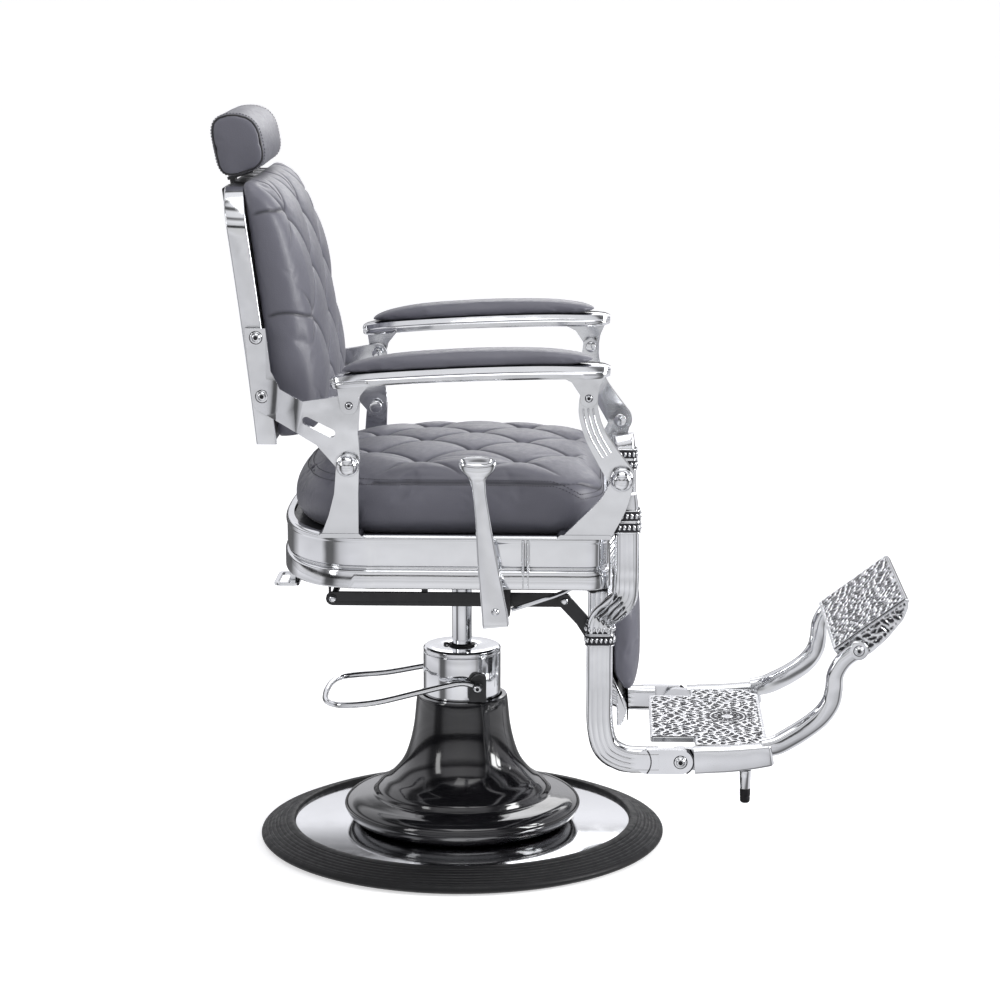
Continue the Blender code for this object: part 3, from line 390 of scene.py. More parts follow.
def tube(bm, points, radius, sides=10, closed=False):
    """A rod along points; radius may be one number or one for each point."""
    pts = np.array(points, float)
    along = np.roll(pts, -1, 0) - np.roll(pts, 1, 0) if closed else np.gradient(pts, axis=0)
    along /= np.linalg.norm(along, axis=1)[:, None] + 1e-12
    up = np.array((0, 0, 1.0)) if abs(along[:, 2]).max() < 0.9 else np.array((1.0, 0, 0))
    turns = [math.tau * k / sides for k in range(sides)]
    loops = []
    for p, d, r in zip(pts, along, np.broadcast_to(radius, len(pts))):
        side = np.cross(d, up)
        side /= np.linalg.norm(side) + 1e-12
        lift = np.cross(side, d)
        loops.append([tuple(p + r * (math.cos(a) * side + math.sin(a) * lift)) for a in turns])
    skin(bm, loops, closed)


def oblong(width, height, corner, per_corner=5):
    """A rounded rectangle as (u, v) points round its middle."""
    corner = min(corner, width / 2 - 1e-5, height / 2 - 1e-5)
    out = []
    for cx, cy, start in ((1, 1, 0), (-1, 1, 90), (-1, -1, 180), (1, -1, 270)):
        for k in range(per_corner + 1):
            a = math.radians(start + 90 * k / per_corner)
            out.append((cx * (width / 2 - corner) + corner * math.cos(a), cy * (height / 2 - corner)
                        + corner * math.sin(a)))
    return out


def bar(bm, stations, side, steps=8, corner=0.3, section=None, ends=True):
    """A bar along stations of (x, y, z, width across, height in its own plane), with a rounded section."""
    path = smooth(stations, steps)
    loops = []
    for i, (x, y, z, width, height) in enumerate(path):
        before, after = path[max(i - 1, 0)], path[min(i + 1, len(path) - 1)]
        along = Vector((after[1] - before[1], after[2] - before[2])).normalized()
        up = Vector((-along.y, along.x))
        if section:
            points = section(width, height, i / (len(path) - 1))
        else:
            points = oblong(width, height, corner * min(width, height))
        loops.append([(side * (x + u), y + up.x * v, z + up.y * v) for u, v in points])
    skin(bm, loops, caps=ends)


def dressed(node, body, slot, width=0.0015, segments=3, material=None):
    """A copy of a CAD node with its edges rounded, standing for it."""
    bm = bmesh.new()
    bm.from_mesh(frame["nodes"][node].data)
    bmesh.ops.remove_doubles(bm, verts=bm.verts, dist=2e-6)
    bmesh.ops.dissolve_limit(bm, angle_limit=math.radians(1.5), verts=bm.verts, edges=bm.edges)
    obj = mesh_object(node + "_finished", bm, 30)
    modifier = obj.modifiers.new("edges", "BEVEL")
    modifier.width = width
    modifier.segments = segments
    modifier.limit_method = "ANGLE"
    modifier.angle_limit = math.radians(40)
    modifier.harden_normals = True
    return finish_piece(obj, body, slot, node, material)


def prism(bm, outline, low, high, side=1):
    """A (y, z) outline drawn out across the chair."""
    rings = [[bm.verts.new((side * x, y, z)) for y, z in outline] for x in (low, high)]
    bm.faces.new(rings[0])
    bm.faces.new(rings[1][::-1])
    for i in range(len(outline)):
        j = (i + 1) % len(outline)
        bm.faces.new((rings[0][i], rings[0][j], rings[1][j], rings[1][i]))


# ---- camera, light and floor ----


# Greys of the studio that the chrome sees: by height, in shares from level to straight up,
# and by turn in shares of a turn from the -X side. Each stop is (share, grey).
STUDIO_UPWARD = ((0.0, 0.55), (0.02, 0.04), (0.085, 0.03), (0.12, 0.75), (0.3, 0.95), (0.36, 0.4),
                 (0.43, 0.12), (0.5, 0.9), (0.7, 0.95), (0.76, 0.1), (0.83, 0.1), (0.88, 0.95), (1.0, 0.95))
STUDIO_AROUND = ((0.0, 0.95), (0.1, 0.75), (0.14, 0.18), (0.19, 0.18), (0.23, 0.95), (0.4, 1.0), (0.6, 1.0),
                 (0.77, 0.95), (0.81, 0.18), (0.86, 0.18), (0.9, 0.8), (1.0, 0.95))


def add_softbox(name, place, aim_height, size, power):
    """An area light aimed at a height on the chair's axis."""
    data = bpy.data.lights.new(name, "AREA")
    data.shape = "RECTANGLE"
    data.size, data.size_y = size
    data.energy = power
    light = bpy.data.objects.new(name, data)
    light.location = place
    light.rotation_euler = (Vector((0, 0, aim_height)) - Vector(place)).to_track_quat("-Z", "Y").to_euler()
    scene.collection.objects.link(light)


def make_stage():
    camera_data = bpy.data.cameras.new("camera")
    camera_data.lens = 106.8
    camera_data.sensor_width = 36
    camera = bpy.data.objects.new("camera", camera_data)
    camera.location = (-4.697, -0.2292, 1.4594)
    pitch, yaw = 0.1891, 0.0356
    ahead = Vector((math.cos(pitch) * math.cos(yaw), math.cos(pitch) * math.sin(yaw), -math.sin(pitch)))
    camera.rotation_euler = ahead.to_track_quat("-Z", "Y").to_euler()
    scene.collection.objects.link(camera)
    scene.camera = camera

    bm = bmesh.new()
    bmesh.ops.create_circle(bm, cap_ends=True, segments=96, radius=90)
    floor = mesh_object("floor", bm)
    floor.data.materials.append(make_floor())

    add_softbox("key_overhead", (-0.9, -0.3, 3.2), 0.5, (2.0, 2.4), 21)
    add_softbox("front_left", (-0.8, -3.4, 1.8), 0.7, (1.3, 1.9), 98)
    add_softbox("rear_left", (-2.3, 2.7, 1.8), 0.7, (0.6, 1.8), 13)
    add_softbox("far_side", (2.9, -0.6, 2.0), 0.6, (2.0, 1.6), 18)

    world = bpy.data.worlds.new("studio")
    scene.world = world
    world.use_nodes = True
    w = Nodes(world.node_tree, "Generated")
    height = w.node("SeparateXYZ", {0: w.place}).outputs["Z"]
    studio = w.mix(1.0, w.greys(height, STUDIO_UPWARD), w.greys_around(STUDIO_AROUND), blend_type="MULTIPLY")
    background = w.nodes["Background"]
    w.links.new(w.mix(w.camera_sees(), studio, (0.93, 0.93, 0.94)), background.inputs["Color"])
    background.inputs["Strength"].default_value = 1.0
    scene.view_settings.view_transform = "Standard"


# ---- base, pump and piston ----
def make_base():
    plate, _, top = turned_size("base_plate")
    boss, underside = 0.1, 0.014
    lathe("chrome_disc", [(0, 0), (boss, 0), (boss, underside), (plate, underside), (plate, top),
                          (0.06, top), (0, top)], "base", "chrome", "base_plate", MIRROR_DISC, steps=128,
          edge=0.0008)

    outer, _, top = turned_size("base_rubber_rim")
    inner = plate + 0.0003
    slope = smooth([(outer - 0.014, 0.0), (outer - 0.004, 0.0045), (outer, 0.01), (outer - 0.0035, 0.0155),
                    (outer - 0.014, 0.0205), (outer - 0.03, 0.0272), (outer - 0.044, 0.0325),
                    (outer - 0.049, top), (outer - 0.0535, top - 0.0006)], 14)
    profile = []
    for r, z in slope:
        grooved = outer - 0.041 < r < outer - 0.006 and z > 0.013
        groove = 0.0011 * max(0.0, math.cos((outer - r) / 0.0058 * math.tau)) ** 2 if grooved else 0.0
        profile.append((float(r), float(z - groove)))
    lathe("grooved_rim", [(inner, 0.0), *profile, (inner, top - 0.002)], "base", "rubber",
          "base_rubber_rim", sharp=60, steps=144)

    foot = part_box("pedestal_bell")[0].z
    skirt = [(0.168, foot), (0.181, 0.0365), (0.1895, 0.0465), (0.1932, 0.0555), (0.1885, 0.0645),
             (0.177, 0.0705), (0.16, 0.0735), (0.1475, 0.0752)]
    cone = [(0.144, 0.077), (0.1415, 0.081), (0.1385, 0.086), (0.13, 0.0935), (0.116, 0.104),
            (0.098, 0.126), (0.087, 0.152), (0.079, 0.187), (0.075, 0.225), (0.0735, 0.236)]
    hollow = [(0.072, 0.2386), (0.0655, 0.239), (0.0655, 0.2), (0.072, 0.165), (0.09, 0.12), (0.122, 0.088),
              (0.128, 0.062), (0.158, 0.045), (0.158, foot)]
    shell = [(float(r), float(z)) for r, z in [*smooth(skirt, 6), *smooth(cone, 6), *hollow]]
    lathe("enamelled_bell", shell, "base", "black_gloss", "pedestal_bell", sharp=50, steps=144)

    radius, bottom, top = turned_size("cylinder_collar")
    profile = [(0.017, bottom), (radius, bottom), (radius, top - 0.0105), (radius - 0.0012, top - 0.0098),
               (radius - 0.0012, top - 0.0082), (radius, top - 0.0075), (radius, top - 0.003),
               (radius - 0.003, top), (0.026, top), (0.025, top - 0.001), (0.0235, top - 0.001),
               (0.0225, top), (0.0195, top), (0.018, top - 0.002), (0.017, top - 0.002)]
    lathe("collar", profile, "base", "chrome", "cylinder_collar", steps=128, edge=0.0006)
    profile = [(0.0168, top - 0.0018), (0.0215, top + 0.0002), (0.0212, top + 0.002),
               (0.0185, top + 0.0032), (0.0164, top + 0.0022)]
    lathe("rod_seal", profile, "base", "black_steel", material=RUBBER, steps=72)

    radius, bottom, top = turned_size("piston_rod")
    lathe("piston", [(0, bottom), (radius, bottom), (radius, top), (0, top)], "piston", "chrome",
          "piston_rod", steps=64, edge=0.0008)


def make_pump():
    """The pedal's bent loop with an eye at each end, on its two brackets."""
    y, z = SPOT["pump_pedal"].y, SPOT["pump_pedal"].z
    half = [(0.0775, y, z), (0.0785, -0.006, 0.2745), (0.083, 0.022, 0.271), (0.09, 0.07, 0.2605),
            (0.098, 0.13, 0.2475), (0.1, 0.178, 0.2425), (0.088, 0.205, 0.2415), (0.055, 0.2185, 0.2405),
            (0, 0.2225, 0.2395)]
    curve = smooth(half, 10)
    bm = bmesh.new()
    tube(bm, np.vstack([curve, curve[-2::-1] * np.array((-1, 1, 1))]), 0.0047, 16)
    eye = rounded([(0.0046, 0.0728), (0.0082, 0.0728), (0.0082, 0.0822), (0.0046, 0.0822)], 0.0006)
    for _, side in SIDES:
        turned(bm, eye, across(side, (y, z)), 32)
    piece("pump_loop", bm, "pump", "chrome", "pump_lever")
    for word, side in SIDES:
        dressed(f"pump_bracket_{word}", "base", "black_steel", 0.0012)
        screws(f"pump_bolt_{word}", "base", side, [(y, z)], 0.0886, 0.0062)


def screws(name, body, side, spots, face, radius, washer=0.0):
    """Socket screws at (y, z) spots on a side, with painted shade: dark bottoms in their sockets and dark rings
    under them.
    """
    bright, dark = bmesh.new(), bmesh.new()
    socket, ring = radius * 0.47, max(washer, radius) + 0.0007
    for spot in spots:
        matrix = across(side, spot)
        add_screw(bright, matrix, face, radius, washer)
        turned(dark, [(0, face + radius * 0.02), (socket, face + radius * 0.02),
                      (socket, face + radius * 0.16), (0, face + radius * 0.16)], matrix, 6)
        turned(dark, [(ring - 0.0012, face - 0.0004), (ring + 0.0005, face - 0.0004),
                      (ring + 0.0003, face + 0.0003), (ring - 0.0012, face + 0.0003)], matrix, 30)
    piece(name, bright, body, "chrome")
    piece(name + "_shade", dark, body, "black_steel", material=RECESS)


def add_screw(bm, matrix, face, radius, washer=0.0):
    """A domed head with a round socket, standing on a face at that distance along the frame's Z."""
    top = face + radius * 0.55
    under = washer or radius
    profile = [(0, face - 0.0002), (under, face - 0.0002)]
    if washer:
        profile += [(washer, face + 0.0008), (washer * 0.9, face + 0.0014), (radius, face + 0.0014)]
    profile += [(radius, face + radius * 0.22), (radius * 0.86, top - radius * 0.12), (radius * 0.62, top)]
    socket = [(radius * 0.5, top), (radius * 0.46, top - radius * 0.45), (0, top - radius * 0.45)]
    turned(bm, rounded(profile, 0.0004, 2) + socket, matrix, 30)


# ---- seat ----
def seat_plan(half, front, rear, depth, corner, steps=60):
    """Plan of the seat: square front corners, and a rear that rounds off as a superellipse."""
    fullness = 2 / 2.6
    points = []
    for centre, start in (((-half + corner, front + corner), 180), ((half - corner, front + corner), 270)):
        for k in range(11):
            a = math.radians(start + 9 * k)
            points.append((centre[0] + corner * math.cos(a), centre[1] + corner * math.sin(a)))
    for i in range(steps + 1):
        angle = math.pi * i / steps
        sideways = math.copysign(abs(math.cos(angle)) ** fullness, math.cos(angle))
        points.append((half * sideways, rear - depth + depth * math.sin(angle) ** fullness))
    return points


def make_apron():
    low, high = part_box("seat_apron")
    half, front, rear = high.x, low.y, high.y
    bottom, top = low.z, high.z
    wall, rib_y, rib_width, rib_rise = 0.014, 0.129, 0.005, 0.0026
    section = rounded([(wall, bottom + 0.0005), (0.0025, bottom), (0.0, bottom + 0.003),
                       (0.0, bottom + 0.026), (0.0018, bottom + 0.0295), (0.0062, bottom + 0.031),
                       (0.0062, bottom + 0.0345), (0.0032, bottom + 0.0365), (0.003, top - 0.0125),
                       (0.0014, top - 0.01), (0.0014, top - 0.004), (0.0045, top), (wall, top)], 0.0022, 4)
    loops = []
    for inset, z in section:
        plan = seat_plan(half - inset, front + inset, rear - inset, 0.155 - inset, 0.036 - inset)
        loop = []
        for (x, y), (x2, y2) in zip(plan, plan[1:] + plan[:1]):
            pieces = 140 if abs(y - y2) > 0.1 else 1
            for k in range(pieces):
                px, py = x + (x2 - x) * k / pieces, y + (y2 - y) * k / pieces
                bulge = rib_rise * near(py - rib_y, rib_width) if inset < wall else 0
                loop.append((px + math.copysign(bulge, px), py, z))
        loops.append(loop)
    bm = bmesh.new()
    skin(bm, loops, closed=True)
    for side in (-1, 1):
        for y in (-0.107, -0.1145):
            path = [(side * (half - 0.002), y, z) for z in np.linspace(bottom + 0.003, top - 0.006, 12)]
            tube(bm, path, 0.0024, 10)
    piece("apron", bm, "seat", "polished_casting", "seat_apron", sharp=40)


def make_horn_feet():
    """A low sloped flange round the foot of each horn, where it stands on the apron."""
    for word, side in SIDES:
        for end in ("rear", "front"):
            low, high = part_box(f"{end}_horn_{word}")
            inner, outer = sorted((abs(low.x), abs(high.x)))
            foot, behind = low.z, high.y
            ahead = low.y if end == "rear" else -0.2395
            outline = [(ahead - 0.0035, foot), (behind + 0.005, foot), (behind + 0.0035, foot + 0.003),
                       (behind - 0.001, foot + 0.0065), (ahead + 0.001, foot + 0.0065),
                       (ahead - 0.003, foot + 0.003)]
            bm = bmesh.new()
            prism(bm, outline, inner - 0.0012, outer + 0.0018, side)
            piece(f"{end}_horn_flange_{word}", bm, "seat", "polished_casting", sharp=40)


def make_knobs():
    """Acorn knobs outside with a stepped washer; their bolt heads inside."""
    for word, side in SIDES:
        for end, joint in (("rear", "recline_back"), ("front", "leg_swing")):
            node = f"pivot_knob_{end}_{word}"
            low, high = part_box(node)
            near_end, far_end = sorted((abs(low.x), abs(high.x)))
            seat = far_end - 0.018
            bolt = [(0, near_end), (0.0098, near_end), (0.0105, near_end + 0.001),
                    (0.0105, near_end + 0.0055), (0.0058, near_end + 0.0055)]
            acorn = [(0.0058, 0), (0.0175, 0), (0.0175, 0.0022), (0.016, 0.003), (0.015, 0.0034),
                     (0.0158, 0.006), (0.0156, 0.009), (0.0138, 0.0128), (0.0108, 0.0155), (0.007, 0.0172),
                     (0.003, 0.0179), (0, 0.018)]
            lathe(f"acorn_{end}_{word}", bolt + [(r, seat + z) for r, z in acorn], "seat", "chrome", node,
                  sharp=40, matrix=across(side, (SPOT[joint].y, SPOT[joint].z)), steps=56, edge=0.0009)


def make_lever():
    """A tapered flat lever whose top flares into a dished thumb piece."""
    shank = [(0.31, -0.0666, 0.4228, 0.0104, 0.038), (0.31, -0.0662, 0.427, 0.0118, 0.0402),
             (0.31, -0.0648, 0.444, 0.012, 0.0395), (0.31, -0.06, 0.48, 0.0118, 0.0355),
             (0.31, -0.0545, 0.52, 0.0115, 0.031), (0.31, -0.05, 0.56, 0.0112, 0.0262),
             (0.31, -0.0462, 0.595, 0.011, 0.0228), (0.3105, -0.0425, 0.625, 0.0118, 0.0215),
             (0.311, -0.0405, 0.645, 0.012, 0.0225), (0.3115, -0.0395, 0.656, 0.011, 0.022)]

    def crowned(width, height, _):
        points = []
        for u, v in oblong(width, height, 0.26 * width, 4):
            ridge = 0.0016 * max(1 - (2 * v / height) ** 2, 0)
            points.append((u + (ridge if u > 0 else 0), v))
        return points

    bm = bmesh.new()
    bar(bm, shank, -1, 10, section=crowned)
    cup = smooth([(0.64, 0.0108, 0.0058, 0.0), (0.648, 0.0124, 0.0066, 0.0), (0.655, 0.0165, 0.008, 0.1),
                  (0.661, 0.0222, 0.0098, 0.25), (0.666, 0.0264, 0.0112, 0.36),
                  (0.671, 0.0284, 0.012, 0.42), (0.6755, 0.0287, 0.0121, 0.45),
                  (0.6785, 0.0278, 0.0114, 0.45), (0.6788, 0.0262, 0.0102, 0.45),
                  (0.6755, 0.0238, 0.0086, 0.42), (0.6715, 0.0195, 0.0068, 0.36),
                  (0.669, 0.011, 0.004, 0.3), (0.6685, 0.002, 0.001, 0.3)], 4)
    centre_x, centre_y = -0.3116, -0.0392
    turns = [(math.cos(math.tau * k / 40), math.sin(math.tau * k / 40)) for k in range(40)]
    skin(bm, [[(centre_x - deep * s, centre_y + wide * c, z - lean * deep * s) for c, s in turns]
              for z, wide, deep, lean in cup])
    piece("thumb_lever", bm, "recline_lever_body", "polished_casting", "recline_lever", sharp=50)
    inner, outer = 0.188, -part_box("lever_shaft")[0].x
    profile = [(0, inner), (0.006, inner), (0.006, 0.3163), (0.0062, 0.317), (0.0058, 0.319),
               (0.0045, 0.3215), (0.0025, outer), (0, outer)]
    pivot = SPOT["recline_release"]
    lathe("lever_bolt", profile, "recline_lever_body", "chrome", "lever_shaft",
          matrix=across(-1, (pivot.y, pivot.z)), steps=40, edge=0.0005)


# ---- upholstery ----
def form(name, loops):
    bm = bmesh.new()
    skin(bm, loops)
    bmesh.ops.triangulate(bm, faces=[f for f in bm.faces if len(f.verts) > 4])
    return mesh_object(name, bm, 80)


def evaluated(obj):
    """Applies an object's modifiers."""
    graph = bpy.context.evaluated_depsgraph_get()
    mesh = bpy.data.meshes.new_from_object(obj.evaluated_get(graph))
    obj.modifiers.clear()
    obj.data = mesh
    return obj


def read_points(mesh, what="co"):
    """The vertices' places, or with "normal" their normals, as rows of an array."""
    flat = np.empty(len(mesh.vertices) * 3)
    mesh.vertices.foreach_get(what, flat)
    return flat.reshape(-1, 3)


def mark_painted_fold_shade(mesh, amount):
    """Stores how deep in a fold or seam each point lies, for the painted shade that the vinyl puts there."""
    fold = mesh.attributes.new("fold", "FLOAT", "POINT")
    fold.data.foreach_set("value", np.clip(amount, 0, 1).astype(np.float32))


def fold_line(da, db):
    """Nearness to a crease, fading out midway between tufts; it sets the crease's painted shade."""
    first = near(da, 0.0024) * (0.35 + 0.65 * near(db, 0.034))
    second = near(db, 0.0024) * (0.35 + 0.65 * near(da, 0.034))
    return np.maximum(first, second)


def put(mesh, points):
    mesh.vertices.foreach_set("co", points.ravel())
    mesh.update()


def plump(obj, pinned, cap, voxel=0.005, pressure=4.0):
    """Remeshes a closed form and swells it as pressurised cloth held at the pinned points."""
    remesh = obj.modifiers.new("remesh", "REMESH")
    remesh.mode = "VOXEL"
    remesh.voxel_size = voxel
    remesh.use_smooth_shade = True
    evaluated(obj)
    relax = obj.modifiers.new("relax", "SMOOTH")
    relax.factor = 0.5
    relax.iterations = 6
    evaluated(obj)
    start = read_points(obj.data)
    group = obj.vertex_groups.new(name="held")
    group.add([int(i) for i in np.nonzero(pinned(start))[0]], 1.0, "REPLACE")
    settings = obj.modifiers.new("cloth", "CLOTH").settings
    settings.quality = 4
    settings.mass = 0.3
    settings.tension_stiffness = settings.compression_stiffness = 12
    settings.shear_stiffness = 5
    settings.bending_stiffness = 1.5
    settings.shrink_min = 0.0
    settings.use_pressure = True
    settings.uniform_pressure_force = pressure
    settings.vertex_group_mass = "held"
    settings.effector_weights.gravity = 0
    for number in range(1, 21):
        scene.frame_set(number)
    evaluated(obj)
    scene.frame_set(1)
    moved = read_points(obj.data) - start
    reach = np.linalg.norm(moved, axis=1)
    share = np.minimum(1, cap / np.maximum(reach, 1e-9))
    put(obj.data, start + moved * share[:, None])
    obj.vertex_groups.clear()
    finer = obj.modifiers.new("finer", "SUBSURF")
    finer.levels = finer.render_levels = 1
    evaluated(obj)
    obj.data.shade_smooth()
    return obj


TUFTS = (0.158, 0.155)  # pitch of the tufts across and along; every other row is set half a pitch over
PIN = 0.007  # radius round a tuft that the swelling doesn't move


def tuft_lines(u, v):
    """Distances to the nearest two crossing crease lines and to the nearest tuft, in metres."""
    a, b = u / TUFTS[0] + v / TUFTS[1], u / TUFTS[0] - v / TUFTS[1]
    scale = 1 / math.hypot(1 / TUFTS[0], 1 / TUFTS[1])
    da, db = (a - np.round(a)) * scale, (b - np.round(b)) * scale
    return da, db, np.hypot(da, db)


def pillow(da, db, height=0.0048, half=0.0553):
    """Height of a smooth pillow between crossing creases, half its width from a crease to its middle."""
    first, second = (np.sin(math.pi / 2 * rise(np.abs(d), 0, half)) for d in (da, db))
    return height * np.sqrt(first * second)


def crease_depth(distance, along):
    """A narrow fold in a wider valley; shallower in the middle of its length."""
    depth = 0.0034 * near(distance, 0.003) + 0.0018 * near(distance, 0.017)
    return depth * (0.45 + 0.55 * near(along, 0.03))


def tufting(u, v):
    """How far tufted vinyl stands proud at each point, and how deep in a fold each point lies, for its painted
    shade.
    """
    da, db, tuft = tuft_lines(u, v)
    depth = np.maximum(crease_depth(da, db), crease_depth(db, da)) + 0.0035 * near(tuft, 0.012)
    return pillow(da, db) - depth, fold_line(da, db)


def finish_cushion(cushion, points, out, lift, folds, body, node):
    put(cushion.data, points + out * lift[:, None])
    mark_painted_fold_shade(cushion.data, folds)
    finish_piece(cushion, body, "vinyl", node)


def seam_height(y):
    """The seat's seam runs level, and dips towards the front corners."""
    return 0.6315 - 0.02 * rise(-y, 0.185, 0.045) ** 1.5


def make_seat_cushion():
    low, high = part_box("seat_cushion")
    front, rear, bottom = low.y, high.y, low.z
    rows = ((0.016, 0.016, 0.024, bottom), (0.0075, 0.0075, 0.0125, bottom + 0.01),
            (0.004, 0.003, 0.007, 0.575), (0.002, 0.002, 0.005, 0.592), (0.002, 0.001, 0.008, 0.608),
            (0.006, 0.004, 0.017, 0.6225), (0.013, 0.01, 0.03, 0.6325), (0.034, 0.026, 0.055, 0.642),
            (0.072, 0.062, 0.098, 0.649), (0.13, 0.12, 0.155, 0.6545), (0.195, 0.18, 0.215, 0.6585))
    loops = []
    for inset, ahead, behind, z in rows:
        half = 0.257 - inset
        plan = seat_plan(half, front + ahead, rear - behind, min(0.165, half), min(0.075, half * 0.5), 44)
        loops.append([(x, y, z) for x, y in plan])
    cushion = form("seat_upholstery", loops)
    shift, shoulder = 0.056, 0.64

    def pins(points):
        x, y, z = points.T
        crown = (tuft_lines(x, y - shift)[2] < PIN) & (z > shoulder) & (np.abs(x) < 0.2)
        return crown | (z < bottom + 0.012)

    plump(cushion, pins, 0.006, 0.0045)
    points, out = read_points(cushion.data), read_points(cushion.data, "normal")
    x, y, z = points.T
    above = rise(z, shoulder, 0.012) * np.clip(out[:, 2] * 1.6 - 0.35, 0, 1)
    proud, folds = tufting(x, y - shift)
    seam = near(z - seam_height(y), 0.0022) * (np.abs(out[:, 2]) < 0.8)
    lift = proud * above - 0.0022 * seam
    # The seam's groove is darkened with painted shade, along with the creases.
    finish_cushion(cushion, points, out, lift, np.maximum(folds * above, 0.8 * seam), "seat",
                   "seat_cushion")
    stitch_seam(cushion, "seat_stitches")


def stitch_seam(cushion, name, pitch=0.0052):
    """A row of stitches on each side of the seat's seam, found by casting rays in from outside."""
    solid = cushion.evaluated_get(bpy.context.evaluated_depsgraph_get())
    bm = bmesh.new()
    total, place = walk(seat_plan(0.3, -0.27, 0.31, 0.17, 0.09, 60))
    for offset in (0.0034, -0.0034):
        spots = []
        for s in np.arange(0, total, pitch / 2):
            x, y = place(s)
            aim = Vector((x * 0.55, y * 0.55, 0)) - Vector((x, y, 0))
            hit, spot, normal, _ = solid.ray_cast(Vector((x, y, seam_height(y) + offset)), aim.normalized())
            spots.append((spot, normal) if hit else None)
        for first, second in zip(spots[::2], spots[1::2]):
            if first is None or second is None or (first[0] - second[0]).length > pitch:
                continue
            a, b = first[0] + first[1] * 0.0003, second[0] + second[1] * 0.0003
            middle = (a + b) / 2 + first[1] * 0.0005
            tube(bm, [a, middle, b], (0.00035, 0.00055, 0.00035), 5)
    piece(name, bm, "seat", "vinyl", material=THREAD, sharp=80)


def band_front(z):
    """The y of the back band's front edge at a height."""
    height = z - 0.688
    return 0.271 + 0.105 * height + 0.055 * height * height


def make_back():
    low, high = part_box("back_frame")
    half, bottom, top, depth, thick = high.x, low.z, high.z, 0.031, 0.009
    corner = 0.06

    def arch(inset):
        """Points (x, z) up one side, over and down the other, with their outward directions."""
        h, t, c = half - inset, top - inset, corner - inset
        path = [(h, bottom + (t - c - bottom) * i / 24, 1, 0) for i in range(24)]
        for i in range(17):
            a = math.pi / 2 * i / 16
            path.append((h - c + c * math.cos(a), t - c + c * math.sin(a), math.cos(a), math.sin(a)))
        path += [((h - c) * (1 - i / 12), t, 0, 1) for i in range(1, 12)]
        return path + [(0, t, 0, 1)] + [(-x, z, -nx, nz) for x, z, nx, nz in path[::-1]]

    def inner_line(shrink, push):
        """The arch inside the band, drawn in further and pushed back, with its open foot raised as much."""
        scale = 1 - max(shrink - 0.04, 0) / 0.2
        middle = 0.885
        line = []
        for x, z, _, _ in arch(thick + 0.0008 + min(shrink, 0.04)):
            z = max(middle + (z - middle) * scale, bottom + 0.003 + shrink)
            line.append((x * scale, band_front(z) + push, z))
        return line

    loops = []
    section = oblong(thick, depth, 0.0022, 4)
    for x, z, nx, nz in arch(thick / 2):
        middle = band_front(z) + depth / 2
        loops.append([(x + nx * u, middle + v, z + nz * u) for u, v in section])
    bm = bmesh.new()
    skin(bm, loops)
    piece("back_band", bm, "back", "polished_casting", "back_frame", sharp=40)
    bm = bmesh.new()
    board = ((0.0, 0.003), (0.0, 0.0085), (0.003, 0.0115), (0.012, 0.0135), (0.05, 0.015), (0.14, 0.0158))
    skin(bm, [inner_line(shrink, push) for shrink, push in board])
    piece("rear_board", bm, "back", "back_board", "back_panel", sharp=60)
    bm = bmesh.new()
    tube(bm, inner_line(0.0045, 0.0118), 0.0021, 8, closed=True)
    piece("rear_piping", bm, "back", "back_board", sharp=80)


def pad_loops(stations, section):
    """Loops across a pad from (rear y, rear z, front y, front z, half width) stations."""
    loops = []
    for rear_y, rear_z, front_y, front_z, half in stations:
        rear, front = Vector((rear_y, rear_z)), Vector((front_y, front_z))
        loops.append([(u * half, *(rear.lerp(front, v))) for u, v in section])
    return loops


